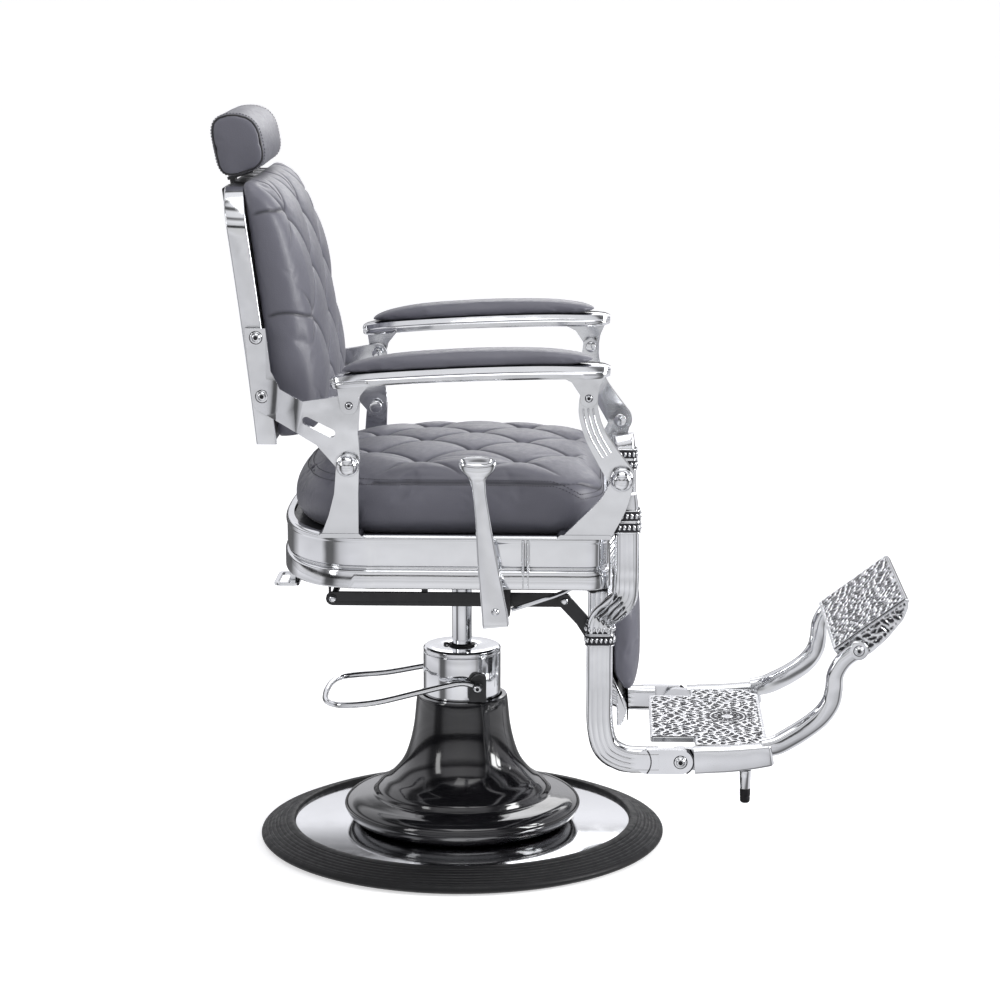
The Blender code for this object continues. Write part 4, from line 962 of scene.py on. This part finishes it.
def make_back_cushion():
    rows = ((0.6965, 0.232, 0.6985, 0.205), (0.7, 0.214, 0.708, 0.216), (0.722, 0.201, 0.728, 0.223),
            (0.765, 0.199, 0.768, 0.225), (0.85, 0.21, 0.845, 0.225), (0.93, 0.224, 0.93, 0.225),
            (1.0, 0.242, 1.001, 0.225), (1.045, 0.26, 1.045, 0.224), (1.07, 0.277, 1.069, 0.22),
            (1.081, 0.289, 1.08, 0.213), (1.087, 0.302, 1.0875, 0.203))
    section = mirrored(((0.975, 0.0), (0.992, 0.06), (1.0, 0.15), (1.0, 0.35), (0.993, 0.55), (0.97, 0.72),
                        (0.92, 0.84), (0.8, 0.925), (0.6, 0.97), (0.3, 0.993), (0.0, 1.0)))
    stations = [(band_front(z) - 0.0006, z, *front) for z, *front in smooth(rows, 4)]
    cushion = form("back_upholstery", pad_loops(stations, section))
    level = 0.88

    def pins(points):
        x, y, z = points.T
        front = (y < band_front(z) - 0.04) & (np.abs(x) < 0.17)
        return (y > band_front(z) - 0.01) | (front & (tuft_lines(x, z - level)[2] < PIN))

    plump(cushion, pins, 0.006, 0.0045)
    points, out = read_points(cushion.data), read_points(cushion.data, "normal")
    x, y, z = points.T
    ahead = band_front(z) - y
    facing = np.clip(-out[:, 1] * 1.5 - 0.25, 0, 1) * rise(ahead, 0.02, 0.012)
    facing *= rise(-np.abs(x), -0.212, 0.04)
    proud, folds = tufting(x, z - level)
    lift, folds = proud * facing, folds * facing
    beside = rise(np.abs(x), 0.15, 0.03) * rise(ahead, 0.006, 0.01)
    for pleat in (level, level + TUFTS[1], level - TUFTS[1]):
        away = z - pleat - 0.01 * np.sin(rise(ahead, 0, 0.075) * math.pi)
        line = beside * near(away, 0.0026)
        lift = lift - 0.0022 * line - 0.0008 * beside * near(away, 0.013)
        folds = np.maximum(folds, line)
    over = rise(z, 1.05, 0.012)
    for pleat in (-TUFTS[0], 0.0, TUFTS[0]):
        line = over * near(x - pleat, 0.0028)
        lift = lift - 0.0026 * line
        folds = np.maximum(folds, line)
    finish_cushion(cushion, points, out, lift, folds, "back", "back_cushion")


def rounded_corners(corners, radii):
    """A closed outline through corners that are rounded over by these reaches."""
    outline = []
    for i, radius in enumerate(radii):
        here, before, after = corners[i], corners[i - 1], corners[(i + 1) % len(corners)]
        p = here + (before - here) / np.linalg.norm(before - here) * radius
        q = here + (after - here) / np.linalg.norm(after - here) * radius
        outline += [p * (1 - t) ** 2 + here * 2 * t * (1 - t) + q * t * t for t in np.linspace(0, 1, 13)]
    return np.array(outline)


def make_headrest():
    low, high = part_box("headrest_cushion")
    reach = high.x - 0.006
    corners = np.array([(0.2925, 1.1045), (0.3665, 1.082), (0.386, 1.1845), (0.309, 1.186)])
    outline = rounded_corners(corners, (0.028, 0.03, 0.036, 0.036))
    centre = outline.mean(0)
    half = [(reach - 0.001, 0.3), (reach, 0.88), (reach - 0.0035, 0.985), (0.105, 1.005), (0.06, 1.015)]
    shares = [(-x, share) for x, share in half] + [(0.0, 1.02)] + half[::-1]
    loops = [[(x, *(centre + (p - centre) * share)) for p in outline] for x, share in shares]
    cushion = form("headrest_upholstery", loops)
    plump(cushion, lambda points: points[:, 2] < low.z + 0.004, 0.005, 0.004, 3.0)
    points, out = read_points(cushion.data), read_points(cushion.data, "normal")
    seam_at = reach - 0.0045
    seam = near(np.abs(points[:, 0]) - seam_at, 0.0018) * (np.abs(out[:, 0]) < 0.85)
    put(cushion.data, points - out * (0.0018 * seam)[:, None])
    finish_piece(cushion, "headrest", "vinyl", "headrest_cushion")
    solid = cushion.evaluated_get(bpy.context.evaluated_depsgraph_get())

    def girth(x):
        """Points round the cushion's surface at an x, lifted a little off it."""
        ring, hub = [], Vector((x, *centre))
        for p in outline:
            start = Vector((x, *(centre + (p - centre) * 1.4)))
            hit, spot, _, _ = solid.ray_cast(start, (hub - start).normalized())
            if hit:
                ring.append(spot + (spot - hub).normalized() * 0.0006)
        return ring

    for word, side in SIDES:
        bm = bmesh.new()
        tube(bm, girth(side * seam_at), 0.0019, 8, True)
        piece(f"headrest_piping_{word}", bm, "headrest", "vinyl", material=PIPING, sharp=80)
        total, place = walk(girth(side * (seam_at - 0.0065)))
        bm = bmesh.new()
        for s in np.arange(0, total - 0.004, 0.005):
            tube(bm, [place(s + step) for step in (0, 0.0016, 0.0032)], (0.00035, 0.0006, 0.00035), 5)
        piece(f"headrest_stitching_{word}", bm, "headrest", "vinyl", material=THREAD, sharp=80)


def make_arm_pads():
    rows = ((0.1655, 0.81, 0.8125, 0.01), (0.16, 0.8115, 0.818, 0.02), (0.14, 0.814, 0.8262, 0.029),
            (0.1, 0.818, 0.835, 0.0335), (0.047, 0.8215, 0.841, 0.036), (-0.043, 0.8265, 0.8462, 0.037),
            (-0.12, 0.829, 0.847, 0.036), (-0.165, 0.829, 0.8445, 0.0335), (-0.195, 0.8285, 0.84, 0.028),
            (-0.209, 0.8285, 0.835, 0.018), (-0.2135, 0.8285, 0.8312, 0.008))
    section = mirrored(((0.96, 0.0), (1.0, 0.16), (0.98, 0.42), (0.88, 0.7), (0.62, 0.92), (0.3, 0.99),
                        (0, 1.0)))
    for word, _ in SIDES:
        middle = sum(c.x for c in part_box(f"arm_pad_{word}")) / 2
        loops = [[(middle + u * half, y, base + v * (top - base)) for u, v in section]
                 for y, base, top, half in smooth(rows, 3)]
        pad = form(f"arm_rest_{word}", loops)
        plump(pad, lambda points: points[:, 2] < 0.8085, 0.0025, 0.004, 3.0)
        finish_piece(pad, f"arm_{word}", "vinyl", f"arm_pad_{word}")


def make_calf_pad():
    rows = ((-0.268, 0.28, -0.27, 0.279, 0.136), (-0.261, 0.287, -0.278, 0.2855, 0.152),
            (-0.2475, 0.315, -0.2845, 0.315, 0.16), (-0.2455, 0.35, -0.2862, 0.348, 0.161),
            (-0.2455, 0.395, -0.2855, 0.395, 0.161), (-0.2455, 0.418, -0.2815, 0.4195, 0.156),
            (-0.248, 0.4285, -0.269, 0.43, 0.146))
    section = mirrored(((0.975, 0.0), (1.0, 0.15), (1.0, 0.5), (0.97, 0.74), (0.88, 0.9), (0.6, 0.98),
                        (0, 1.0)))
    pad = form("calf_upholstery", pad_loops(smooth(rows, 4), section))
    plump(pad, lambda points: points[:, 1] > -0.248, 0.003, 0.005, 3.0)
    finish_piece(pad, "leg", "vinyl", "calf_pad")


# ---- arms, legs and footrest ----
def make_arm_frames():
    rail = [(0.181, 0.797, 0.03, 0.012), (0.17, 0.7985, 0.052, 0.018), (0.13, 0.804, 0.068, 0.02),
            (0.047, 0.8105, 0.078, 0.02), (-0.043, 0.815, 0.08, 0.021), (-0.133, 0.8175, 0.078, 0.021),
            (-0.195, 0.817, 0.07, 0.02), (-0.226, 0.8165, 0.052, 0.018), (-0.238, 0.816, 0.026, 0.012)]

    def lipped(width, height, _):
        """A rolled lip on top of a cove that draws in to a narrower underside."""
        w, h = width / 2, height / 2
        half = [(0, h * 0.8), (w * 0.8, h * 0.85), (w * 0.93, h), (w, h * 0.72), (w, h * 0.18),
                (w * 0.95, -h * 0.02), (w * 0.88, -h * 0.12), (w * 0.84, -h * 0.45), (w * 0.8, -h * 0.85),
                (w * 0.68, -h), (0, -h)]
        return [(-u, v) for u, v in half] + [(u, v) for u, v in half[-2:0:-1]]

    pin = rounded([(0, 0.259), (0.0085, 0.259), (0.0085, 0.264), (0.0045, 0.264), (0.0045, 0.288),
                   (0, 0.288)], 0.0006)
    for word, side in SIDES:
        bm = bmesh.new()
        bar(bm, [(0.303, *row) for row in rail], side, 8, section=lipped)
        rear, front = SPOT[f"arm_tilt_{word}"], Vector((0, -0.206, 0.773))
        lugs = (lug(rear, ((0.1745, 0.8), (0.1712, 0.778)), ((0.138, 0.775), (0.118, 0.8))),
                lug(front, ((-0.15, 0.812), (-0.18, 0.797), (-0.1925, 0.778)),
                    ((-0.2215, 0.79), (-0.231, 0.812))))
        for outline in lugs:
            prism(bm, outline, 0.2876, 0.2994, side)
        piece(f"arm_casting_{word}", bm, f"arm_{word}", "polished_casting", f"arm_frame_{word}", sharp=40)
        spots = [(s.y, s.z) for s in (rear, front)]
        screws(f"arm_screws_{word}", f"arm_{word}", side, spots, 0.2994, 0.005)
        bm = bmesh.new()
        for spot in spots:
            turned(bm, pin, across(side, spot), 24)
        piece(f"arm_pins_{word}", bm, f"arm_{word}", "chrome")


def lug(spot, before, after):
    """Outline of a lug: points down one edge, an arc round its pivot, and points up the other edge."""
    arc = []
    for k in range(19):
        a = math.radians(-10 - 160 * k / 18)
        arc.append((spot.y + 0.013 * math.cos(a), spot.z + 0.013 * math.sin(a)))
    return [*before, *arc, *after]


def fluted(width, height, t, start=0.1, end=0.9, count=3, depth=0.0007):
    """An oblong section with flutes along both faces, deeper at the post's jog, fading out at the ends."""
    jog, jog_length = 0.385, 0.075
    fade = min(max((t - start) / 0.03, 0), 1) * min(max((end - t) / 0.03, 0), 1)
    fade *= 1 + 1.6 * near(t - jog, jog_length)
    pitch = height * 0.6 / count
    base = oblong(width, height, 0.26 * min(width, height), 4)
    out = []
    for (u, v), (u2, v2) in zip(base, base[1:] + base[:1]):
        out.append((u, v))
        if abs(u - u2) < 1e-6 and abs(v2 - v) > height * 0.3:
            for k in range(1, 36):
                s = v + (v2 - v) * k / 36
                off_centre = s / pitch - round(s / pitch)
                round_dip = max(0.0, math.cos(off_centre * math.pi)) ** 0.7
                dip = depth * fade * round_dip if abs(s) < pitch * count / 2 else 0
                out.append((u - math.copysign(dip, u), s))
    return out


def make_legs():
    low_x, top_x, wide = 0.193, 0.2713, 0.03
    low_y, top_y = -0.2245, -0.2645
    post = [(0.2761, -0.261, 0.622, 0.0212, 0.0355), (top_x, -0.2635, 0.6, 0.0295, 0.0368),
            (top_x, top_y, 0.56, 0.031, 0.0378), (top_x, top_y, 0.49, 0.031, 0.038),
            (0.2593, -0.261, 0.458, 0.031, 0.039), (0.232, -0.243, 0.432, 0.031, 0.041),
            (0.201, -0.2275, 0.408, wide, 0.041), (low_x, low_y, 0.375, wide, 0.041),
            (low_x, low_y, 0.3, wide, 0.041), (low_x, -0.2255, 0.24, wide, 0.041),
            (low_x, -0.235, 0.204, wide, 0.041), (low_x, -0.26, 0.1865, wide, 0.04),
            (low_x, -0.29, 0.1835, wide, 0.039), (low_x, -0.318, 0.1835, wide, 0.039)]
    hinge, leg = SPOT["footrest_fold"], SPOT["leg_swing"]
    crank = smooth([(-0.206, 0.773, 0.0135), (-0.2055, 0.748, 0.015), (-0.215, 0.716, 0.0155),
                    (-0.233, 0.684, 0.0175), (leg.y, leg.z, 0.0205)], 8)
    ribbed = crank[6:-8, :2]
    along = np.gradient(ribbed, axis=0)
    along /= np.linalg.norm(along, axis=1)[:, None]
    sideways = np.stack([-along[:, 1], along[:, 0]], 1)
    for word, side in SIDES:
        bm = bmesh.new()
        bar(bm, post, side, 8, section=fluted)
        prism(bm, band(crank[:, :2], crank[:, 2]), 0.2656, 0.2867, side)
        knuckle = band([(-0.3, hinge.z), (hinge.y, hinge.z)], [0.0195, 0.0195])
        prism(bm, knuckle, low_x + 0.0004, 0.2076, side)
        piece(f"leg_casting_{word}", bm, "leg", "polished_casting", f"leg_frame_{word}", sharp=40)
        bm = bmesh.new()
        for lift in (-0.0075, 0.0, 0.0075):
            tube(bm, [(side * 0.2866, y, z) for y, z in ribbed + sideways * lift], 0.0013, 8)
        piece(f"crank_ribs_{word}", bm, "leg", "polished_casting", sharp=80)
        make_band(f"post_band_upper_{word}", side, top_x, top_y, 0.582, 0.0325, 0.0395)
        make_band(f"post_band_lower_{word}", side, low_x, low_y, 0.387, 0.032, 0.043)


def band(centres, halves, steps=12):
    """The outline of a band of varying half width along a line of (y, z) centres, with round ends."""
    spots = [Vector((float(c[0]), float(c[1]))) for c in centres]
    left, right = [], []
    last = len(spots) - 1
    for i, spot in enumerate(spots):
        along = (spots[min(i + 1, last)] - spots[max(i - 1, 0)]).normalized()
        side = Vector((-along.y, along.x)) * float(halves[i])
        left.append(tuple(spot + side))
        right.append(tuple(spot - side))
    caps = []
    for here, before in ((last, last - 1), (0, 1)):
        along = (spots[here] - spots[before]).normalized()
        side = Vector((-along.y, along.x))
        turns = [math.pi * k / steps for k in range(1, steps)]
        reach = float(halves[here])
        caps.append([tuple(spots[here] + side * math.cos(a) * reach + along * math.sin(a) * reach)
                     for a in turns])
    return left + caps[0] + right[::-1] + caps[1]


def make_band(name, side, x, y, z, width, height):
    """Two beaded rings with a dark ground between them, round an upright post."""
    bm = bmesh.new()
    end, corner = 0.017, 0.009
    skin(bm, [[(side * x + u, y + v, z + h) for u, v in oblong(width, height, corner, 6)]
              for h in (-end, end)])
    piece(name + "_ground", bm, "leg", "polished_casting", material=RECESS, sharp=40)
    bm = bmesh.new()
    line = oblong(width + 0.001, height + 0.001, corner, 6)
    for rise_by in (-end, -0.001, 0.001, end):
        tube(bm, [(side * x + u, y + v, z + rise_by) for u, v in line], 0.0011, 8, closed=True)
    total, place = walk(line)
    count = int(total / 0.0072)
    for row, rise_by in enumerate((-0.0088, 0.0088)):
        for k in range(count):
            u, v = place(total * (k + 0.5 * row) / count)
            spot = Matrix.Translation((side * x + u, y + v, z + rise_by)) @ Matrix.Diagonal((1, 1, 1.7, 1))
            bmesh.ops.create_icosphere(bm, subdivisions=2, radius=0.0027, matrix=spot)
    piece(name, bm, "leg", "polished_casting", sharp=60)


def make_foot_arms():
    x, wide = 0.193, 0.0294
    hinge, flip = SPOT["footrest_fold"], SPOT["toe_plate_flip"]
    rail = [(x, hinge.y - 0.0216, hinge.z, wide, 0.039), (x, -0.4, 0.185, wide, 0.0388),
            (x, -0.43, 0.1865, wide, 0.038), (x, -0.462, 0.19, wide, 0.036),
            (x, -0.488, 0.1937, wide, 0.0338), (x, -0.4935, 0.1945, wide - 0.003, 0.032),
            (x, -0.4958, 0.1949, wide - 0.01, 0.027)]
    arm = [(0.1905, -0.48, 0.2045, 0.024, 0.027), (0.189, -0.5, 0.2075, 0.0245, 0.03),
           (0.185, -0.518, 0.2155, 0.026, 0.0315), (0.18, -0.546, 0.232, 0.024, 0.0315),
           (0.177, -0.571, 0.2515, 0.022, 0.031), (0.177, -0.586, 0.2735, 0.02, 0.0295),
           (0.177, -0.591, 0.296, 0.02, 0.0275), (0.177, -0.593, 0.32, 0.019, 0.0265),
           (0.177, -0.606, 0.343, 0.019, 0.0265), (0.177, flip.y, flip.z, 0.019, 0.0265)]

    def ridged(width, height, _):
        points = oblong(width, height, 0.34 * min(width, height), 5)
        return [(u + math.copysign(0.0012, u) * (1 - (2 * v / height) ** 2), v) for u, v in points]

    boss = rounded([(0, 0.1676), (0.015, 0.1676), (0.015, 0.1876), (0, 0.1876)], 0.0015)
    tongue = band([(hinge.y, hinge.z), (hinge.y - 0.04, hinge.z)], [0.019, 0.015])
    # painted shade along the joint lines of the knuckle and of the rail, as (how far behind the hinge, radius,
    # half arc in degrees)
    joint_lines = ((0, 0.0204, 62), (0.076, 0.03, 38))
    for word, side in SIDES:
        at_hinge, at_flip = across(side, (hinge.y, hinge.z)), across(side, (flip.y, flip.z))
        bm = bmesh.new()
        bar(bm, rail, side, 5, corner=0.12)
        bar(bm, arm, side, 8, section=ridged)
        prism(bm, tongue, 0.1786, x - 0.0004, side)
        turned(bm, boss, at_flip, 40)
        turned(bm, [(0, 0.156), (0.0045, 0.156), (0.0045, 0.17), (0, 0.17)], at_flip, 24)
        piece(f"foot_casting_{word}", bm, "footrest", "polished_casting", f"foot_arm_{word}", sharp=40)
        pin = [(0, 0.185), (0.0056, 0.185), (0.0056, 0.208), (0, 0.208)]
        lathe(f"hinge_pin_{word}", pin, "footrest", "chrome", matrix=at_hinge, steps=24)
        bm = bmesh.new()
        for behind, radius, arc in joint_lines:
            turns = [math.radians(a) for a in range(-arc, arc + 1, 4)]
            path = [(side * 0.2077, hinge.y + behind - radius * math.cos(a), hinge.z + radius * math.sin(a))
                    for a in turns]
            tube(bm, path, 0.0011, 6)
        piece(f"hinge_shade_{word}", bm, "leg", "black_steel", material=RECESS, sharp=80)
        screws(f"hinge_screw_{word}", "footrest", side, [(hinge.y, hinge.z)], 0.208, 0.0072, 0.0098)
        screws(f"toe_screw_{word}", "footrest", side, [(flip.y, flip.z)], 0.1876, 0.0058, 0.0078)


def inside(polygon, u, v):
    """Which of the points (u, v) lie in a polygon."""
    result = np.zeros(u.shape, bool)
    for (x0, y0), (x1, y1) in zip(polygon, polygon[1:] + polygon[:1]):
        crosses = (y0 > v) != (y1 > v)
        with np.errstate(divide="ignore", invalid="ignore"):
            result ^= crosses & (u < (x1 - x0) * (v - y0) / (y1 - y0) + x0)
    return result


def edge_distance(polygon, u, v):
    """Distance from points to a polygon's outline."""
    best = np.full(u.shape, 1.0)
    for (x0, y0), (x1, y1) in zip(polygon, polygon[1:] + polygon[:1]):
        dx, dy = x1 - x0, y1 - y0
        t = np.clip(((u - x0) * dx + (v - y0) * dy) / (dx * dx + dy * dy), 0, 1)
        best = np.minimum(best, np.hypot(u - x0 - t * dx, v - y0 - t * dy))
    return best


def relief(name, body, polygon, matrix, cell, medallion=None, height=0.0013):
    """Cast scrollwork in a polygon's plane: a raised curling network and a rim over a dark floor."""
    border, step = 0.004, 0.0011
    us, vs = [p[0] for p in polygon], [p[1] for p in polygon]
    columns, rows = int((max(us) - min(us)) / step) + 1, int((max(vs) - min(vs)) / step) + 1
    u, v = np.meshgrid(np.linspace(min(us), max(us), columns), np.linspace(min(vs), max(vs), rows))
    half = np.abs(u)
    bend_u = half + 0.35 * cell * np.sin(v / cell * 1.9 + 1.1 * np.sin(half / cell * 0.7))
    bend_v = v + 0.45 * cell * np.sin(half / cell * 1.3) + 0.25 * cell * np.cos(half / cell * 2.3 + v / cell)
    a, b = bend_u / cell + bend_v / cell * 1.7, bend_u / cell - bend_v / cell * 1.7
    leaf = np.abs(np.sin(math.pi * a / 2) * np.sin(math.pi * b / 2))
    vein = np.abs(np.sin(math.pi * (a + 0.5 * np.sin(math.pi * b)) / 2 + 0.6))
    network = np.maximum(0.4 - leaf, 0.16 * (vein < 0.1) * (leaf > 0.5))
    if medallion:
        (mu, mv), (ru, rv) = medallion
        x, y = (u - mu) / ru, (v - mv) / rv
        r, turn = np.hypot(x, y), np.arctan2(y, x)
        petals = 0.3 - np.abs(np.sin(turn * 8)) * (0.55 * (r > 0.34)) - 1.2 * np.abs(r - 0.6)
        disc = np.maximum(petals, np.maximum(0.22 - 4 * np.abs(r - 0.92), 0.2 - 4 * np.maximum(r - 0.28, 0)))
        network = np.where(r < 1.0, disc, np.where(r < 1.07, -0.1, network))
    rim = 1 - edge_distance(polygon, u, v) / border
    raised = np.clip(np.maximum(network / 0.1, rim * 6), 0, 1)
    lift = height * raised * raised * (3 - 2 * raised)
    kept = inside(polygon, u, v)
    bm = bmesh.new()
    spots = [[bm.verts.new(matrix @ Vector((u[j, i], v[j, i], lift[j, i]))) if kept[j, i] else None
              for i in range(columns)] for j in range(rows)]
    sunk = []
    for j in range(rows - 1):
        for i in range(columns - 1):
            corners = [spots[j][i], spots[j][i + 1], spots[j + 1][i + 1], spots[j + 1][i]]
            if None not in corners:
                bm.faces.new(corners)
                sunk.append(int(raised[j:j + 2, i:i + 2].mean() < 0.45))
    obj = piece(name, bm, body, "polished_casting", sharp=80)
    obj.data.materials.append(RECESS)
    obj.data.polygons.foreach_set("material_index", sunk)


def make_footplate():
    dressed("footplate", "footrest", "polished_casting", 0.0015)
    low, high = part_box("footplate")
    edge, shoulder, inner = 0.001, -0.3765, 0.129
    reach, front, rear = high.x - edge, low.y + edge, high.y - edge
    right = [(-inner, rear), (-inner, shoulder), (-reach, shoulder), (-reach, front)]
    outline = right + [(-x, y) for x, y in right[::-1]]
    place = Matrix.Translation((0, 0, high.z + 0.0001))
    relief("tread_scrollwork", "footrest", outline, place, 0.014,
           ((0, (front + shoulder) / 2), (0.036, 0.03)))


def make_flip_plate():
    """The inclined toe plate: scrollwork on the tread and on both cheeks."""
    rear, front, border = Vector((-0.59, 0.356)), Vector((-0.702, 0.44)), 0.0015
    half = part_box("flip_plate")[1].x
    dressed("flip_plate", "flip", "polished_casting", 0.0018)
    along, middle = (front - rear).normalized(), (rear + front) / 2
    up = Vector((along.y, -along.x))
    matrix = Matrix(((1, 0, 0, 0), (0, along.x, up.x, middle.x), (0, along.y, up.y, middle.y), (0, 0, 0, 1)))
    wide, deep = half - border, (front - rear).length / 2 - border
    outline = [(-wide, -deep), (wide, -deep), (wide, deep), (-wide, deep)]
    relief("toe_scrollwork", "flip", outline, matrix @ Matrix.Translation((0, 0, 0.0001)), 0.013)
    mesh = frame["nodes"]["flip_plate"].data
    spots = hull({(round(v.co.y, 5), round(v.co.z, 5)) for v in mesh.vertices if v.co.x > half - 0.0005})
    centre = Vector((sum(c[0] for c in spots) / len(spots), sum(c[1] for c in spots) / len(spots)))
    cheek = [tuple(Vector(c) + (centre - Vector(c)).normalized() * border) for c in spots]
    for word, side in SIDES:
        flat = Matrix(((0, 0, side, side * (half + 0.0001)), (1, 0, 0, 0), (0, 1, 0, 0), (0, 0, 0, 1)))
        relief(f"toe_cheek_{word}", "flip", cheek, flat, 0.01, height=0.0016)


def hull(points):
    """The convex hull of 2-D points, counter-clockwise."""
    points = sorted(points)

    def chain(run):
        out = []
        for p in run:
            while len(out) > 1 and ((out[-1][0] - out[-2][0]) * (p[1] - out[-2][1])
                                    - (out[-1][1] - out[-2][1]) * (p[0] - out[-2][0])) <= 0:
                out.pop()
            out.append(p)
        return out[:-1]
    return chain(points) + chain(points[::-1])


def make_kick_plate():
    dressed("leg_cross_plate", "leg", "polished_casting", 0.002)
    low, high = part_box("leg_cross_plate")
    half = high.x - 0.004
    outline = [(-half, 0.0), (-half, 0.04), (half, 0.04), (half, 0.0)]
    matrix = Matrix(((1, 0, 0, 0), (0, 0, -1, low.y - 0.0002), (0, 1, 0, low.z + 0.002), (0, 0, 0, 1)))
    relief("kick_scrollwork", "leg", outline, matrix, 0.012, height=0.0018)


def make_stubs():
    for word, _ in SIDES:
        low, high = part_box(f"foot_stub_{word}")
        place = Matrix.Translation(((low.x + high.x) / 2, (low.y + high.y) / 2, 0))
        peg = [(0, 0.134), (0.006, 0.134), (0.006, 0.1386), (0.008, 0.1386), (0.009, 0.158),
               (0.009, high.z), (0, high.z)]
        lathe(f"rest_peg_{word}", peg, "footrest", "chrome", f"foot_stub_{word}", matrix=place, steps=40,
              edge=0.0006)
        tip = [(0, 0.116), (0.0062, 0.116), (0.0078, 0.1185), (0.008, 0.124), (0.0076, 0.125),
               (0.0082, 0.127), (0.0084, 0.1375), (0.0065, 0.1375), (0.0065, 0.1335), (0, 0.1335)]
        lathe(f"peg_tip_{word}", tip, "footrest", "rubber", f"foot_stub_tip_{word}", matrix=place, steps=40,
              edge=0.0006)


def make_fittings():
    """Bevelled copies of the plain machined pieces, with their screws and rivets."""
    pair_finishes = (("rear_horn", "seat", "polished_casting", 0.003, 4),
                     ("front_horn", "seat", "polished_casting", 0.003, 4),
                     ("back_bracket", "back", "polished_casting", 0.0022, 3),
                     ("linkage_arm", "leg", "black_steel", 0.0008, 2),
                     ("pull_bar", "pull_bars", "black_steel", 0.0008, 2),
                     ("slide_hanger", "seat", "black_steel", 0.0008, 2))
    front, (low, high) = SPOT["bar_swing"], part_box("cross_rod")
    rivets = (((front.y, front.z), 0.1776), (((low.y + high.y) / 2, (low.z + high.z) / 2), 0.1738))
    for word, side in SIDES:
        for node, *finish in pair_finishes:
            dressed(f"{node}_{word}", *finish)
        screws(f"bracket_screws_{word}", "back", side, [(0.2995, 0.856), (0.2915, 0.766)], 0.2526, 0.0066,
               0.0092)
        bm = bmesh.new()
        for spot, face in rivets:
            add_rivet(bm, across(side, spot), face, 0.0052)
        piece(f"bar_rivets_{word}", bm, "pull_bars", "chrome")
    dressed("towel_loop", "seat", "chrome", 0.0012, 3)
    dressed("headrest_lock_housing", "back", "black_steel", 0.003, 3)
    dressed("headrest_lock_lever", "headrest_lock", "black_steel", 0.0012, 2)
    dressed("lock_housing", "seat", "black_steel", 0.002, 2)
    dressed("headrest_post", "headrest", "black_steel", 0.001, 2)


def add_rivet(bm, matrix, face, radius):
    profile = [(0, face - 0.0003), (radius, face - 0.0003), (radius, face + 0.0004),
               (radius * 0.8, face + 0.0014), (radius * 0.4, face + 0.002), (0, face + 0.0021)]
    turned(bm, profile, matrix, 24)


for obj in frame["nodes"].values():
    entry = next(s for s in frame["record"]["subparts"] if s["node"] == obj.name)
    obj.data.materials.clear()
    obj.data.materials.append(BY_SLOT[entry["material_slot"]])

make_stage()
make_base()
make_pump()
make_apron()
make_horn_feet()
make_knobs()
make_lever()
make_seat_cushion()
make_back()
make_back_cushion()
make_headrest()
make_arm_pads()
make_calf_pad()
make_arm_frames()
make_legs()
make_foot_arms()
make_footplate()
make_flip_plate()
make_kick_plate()
make_stubs()
make_fittings()
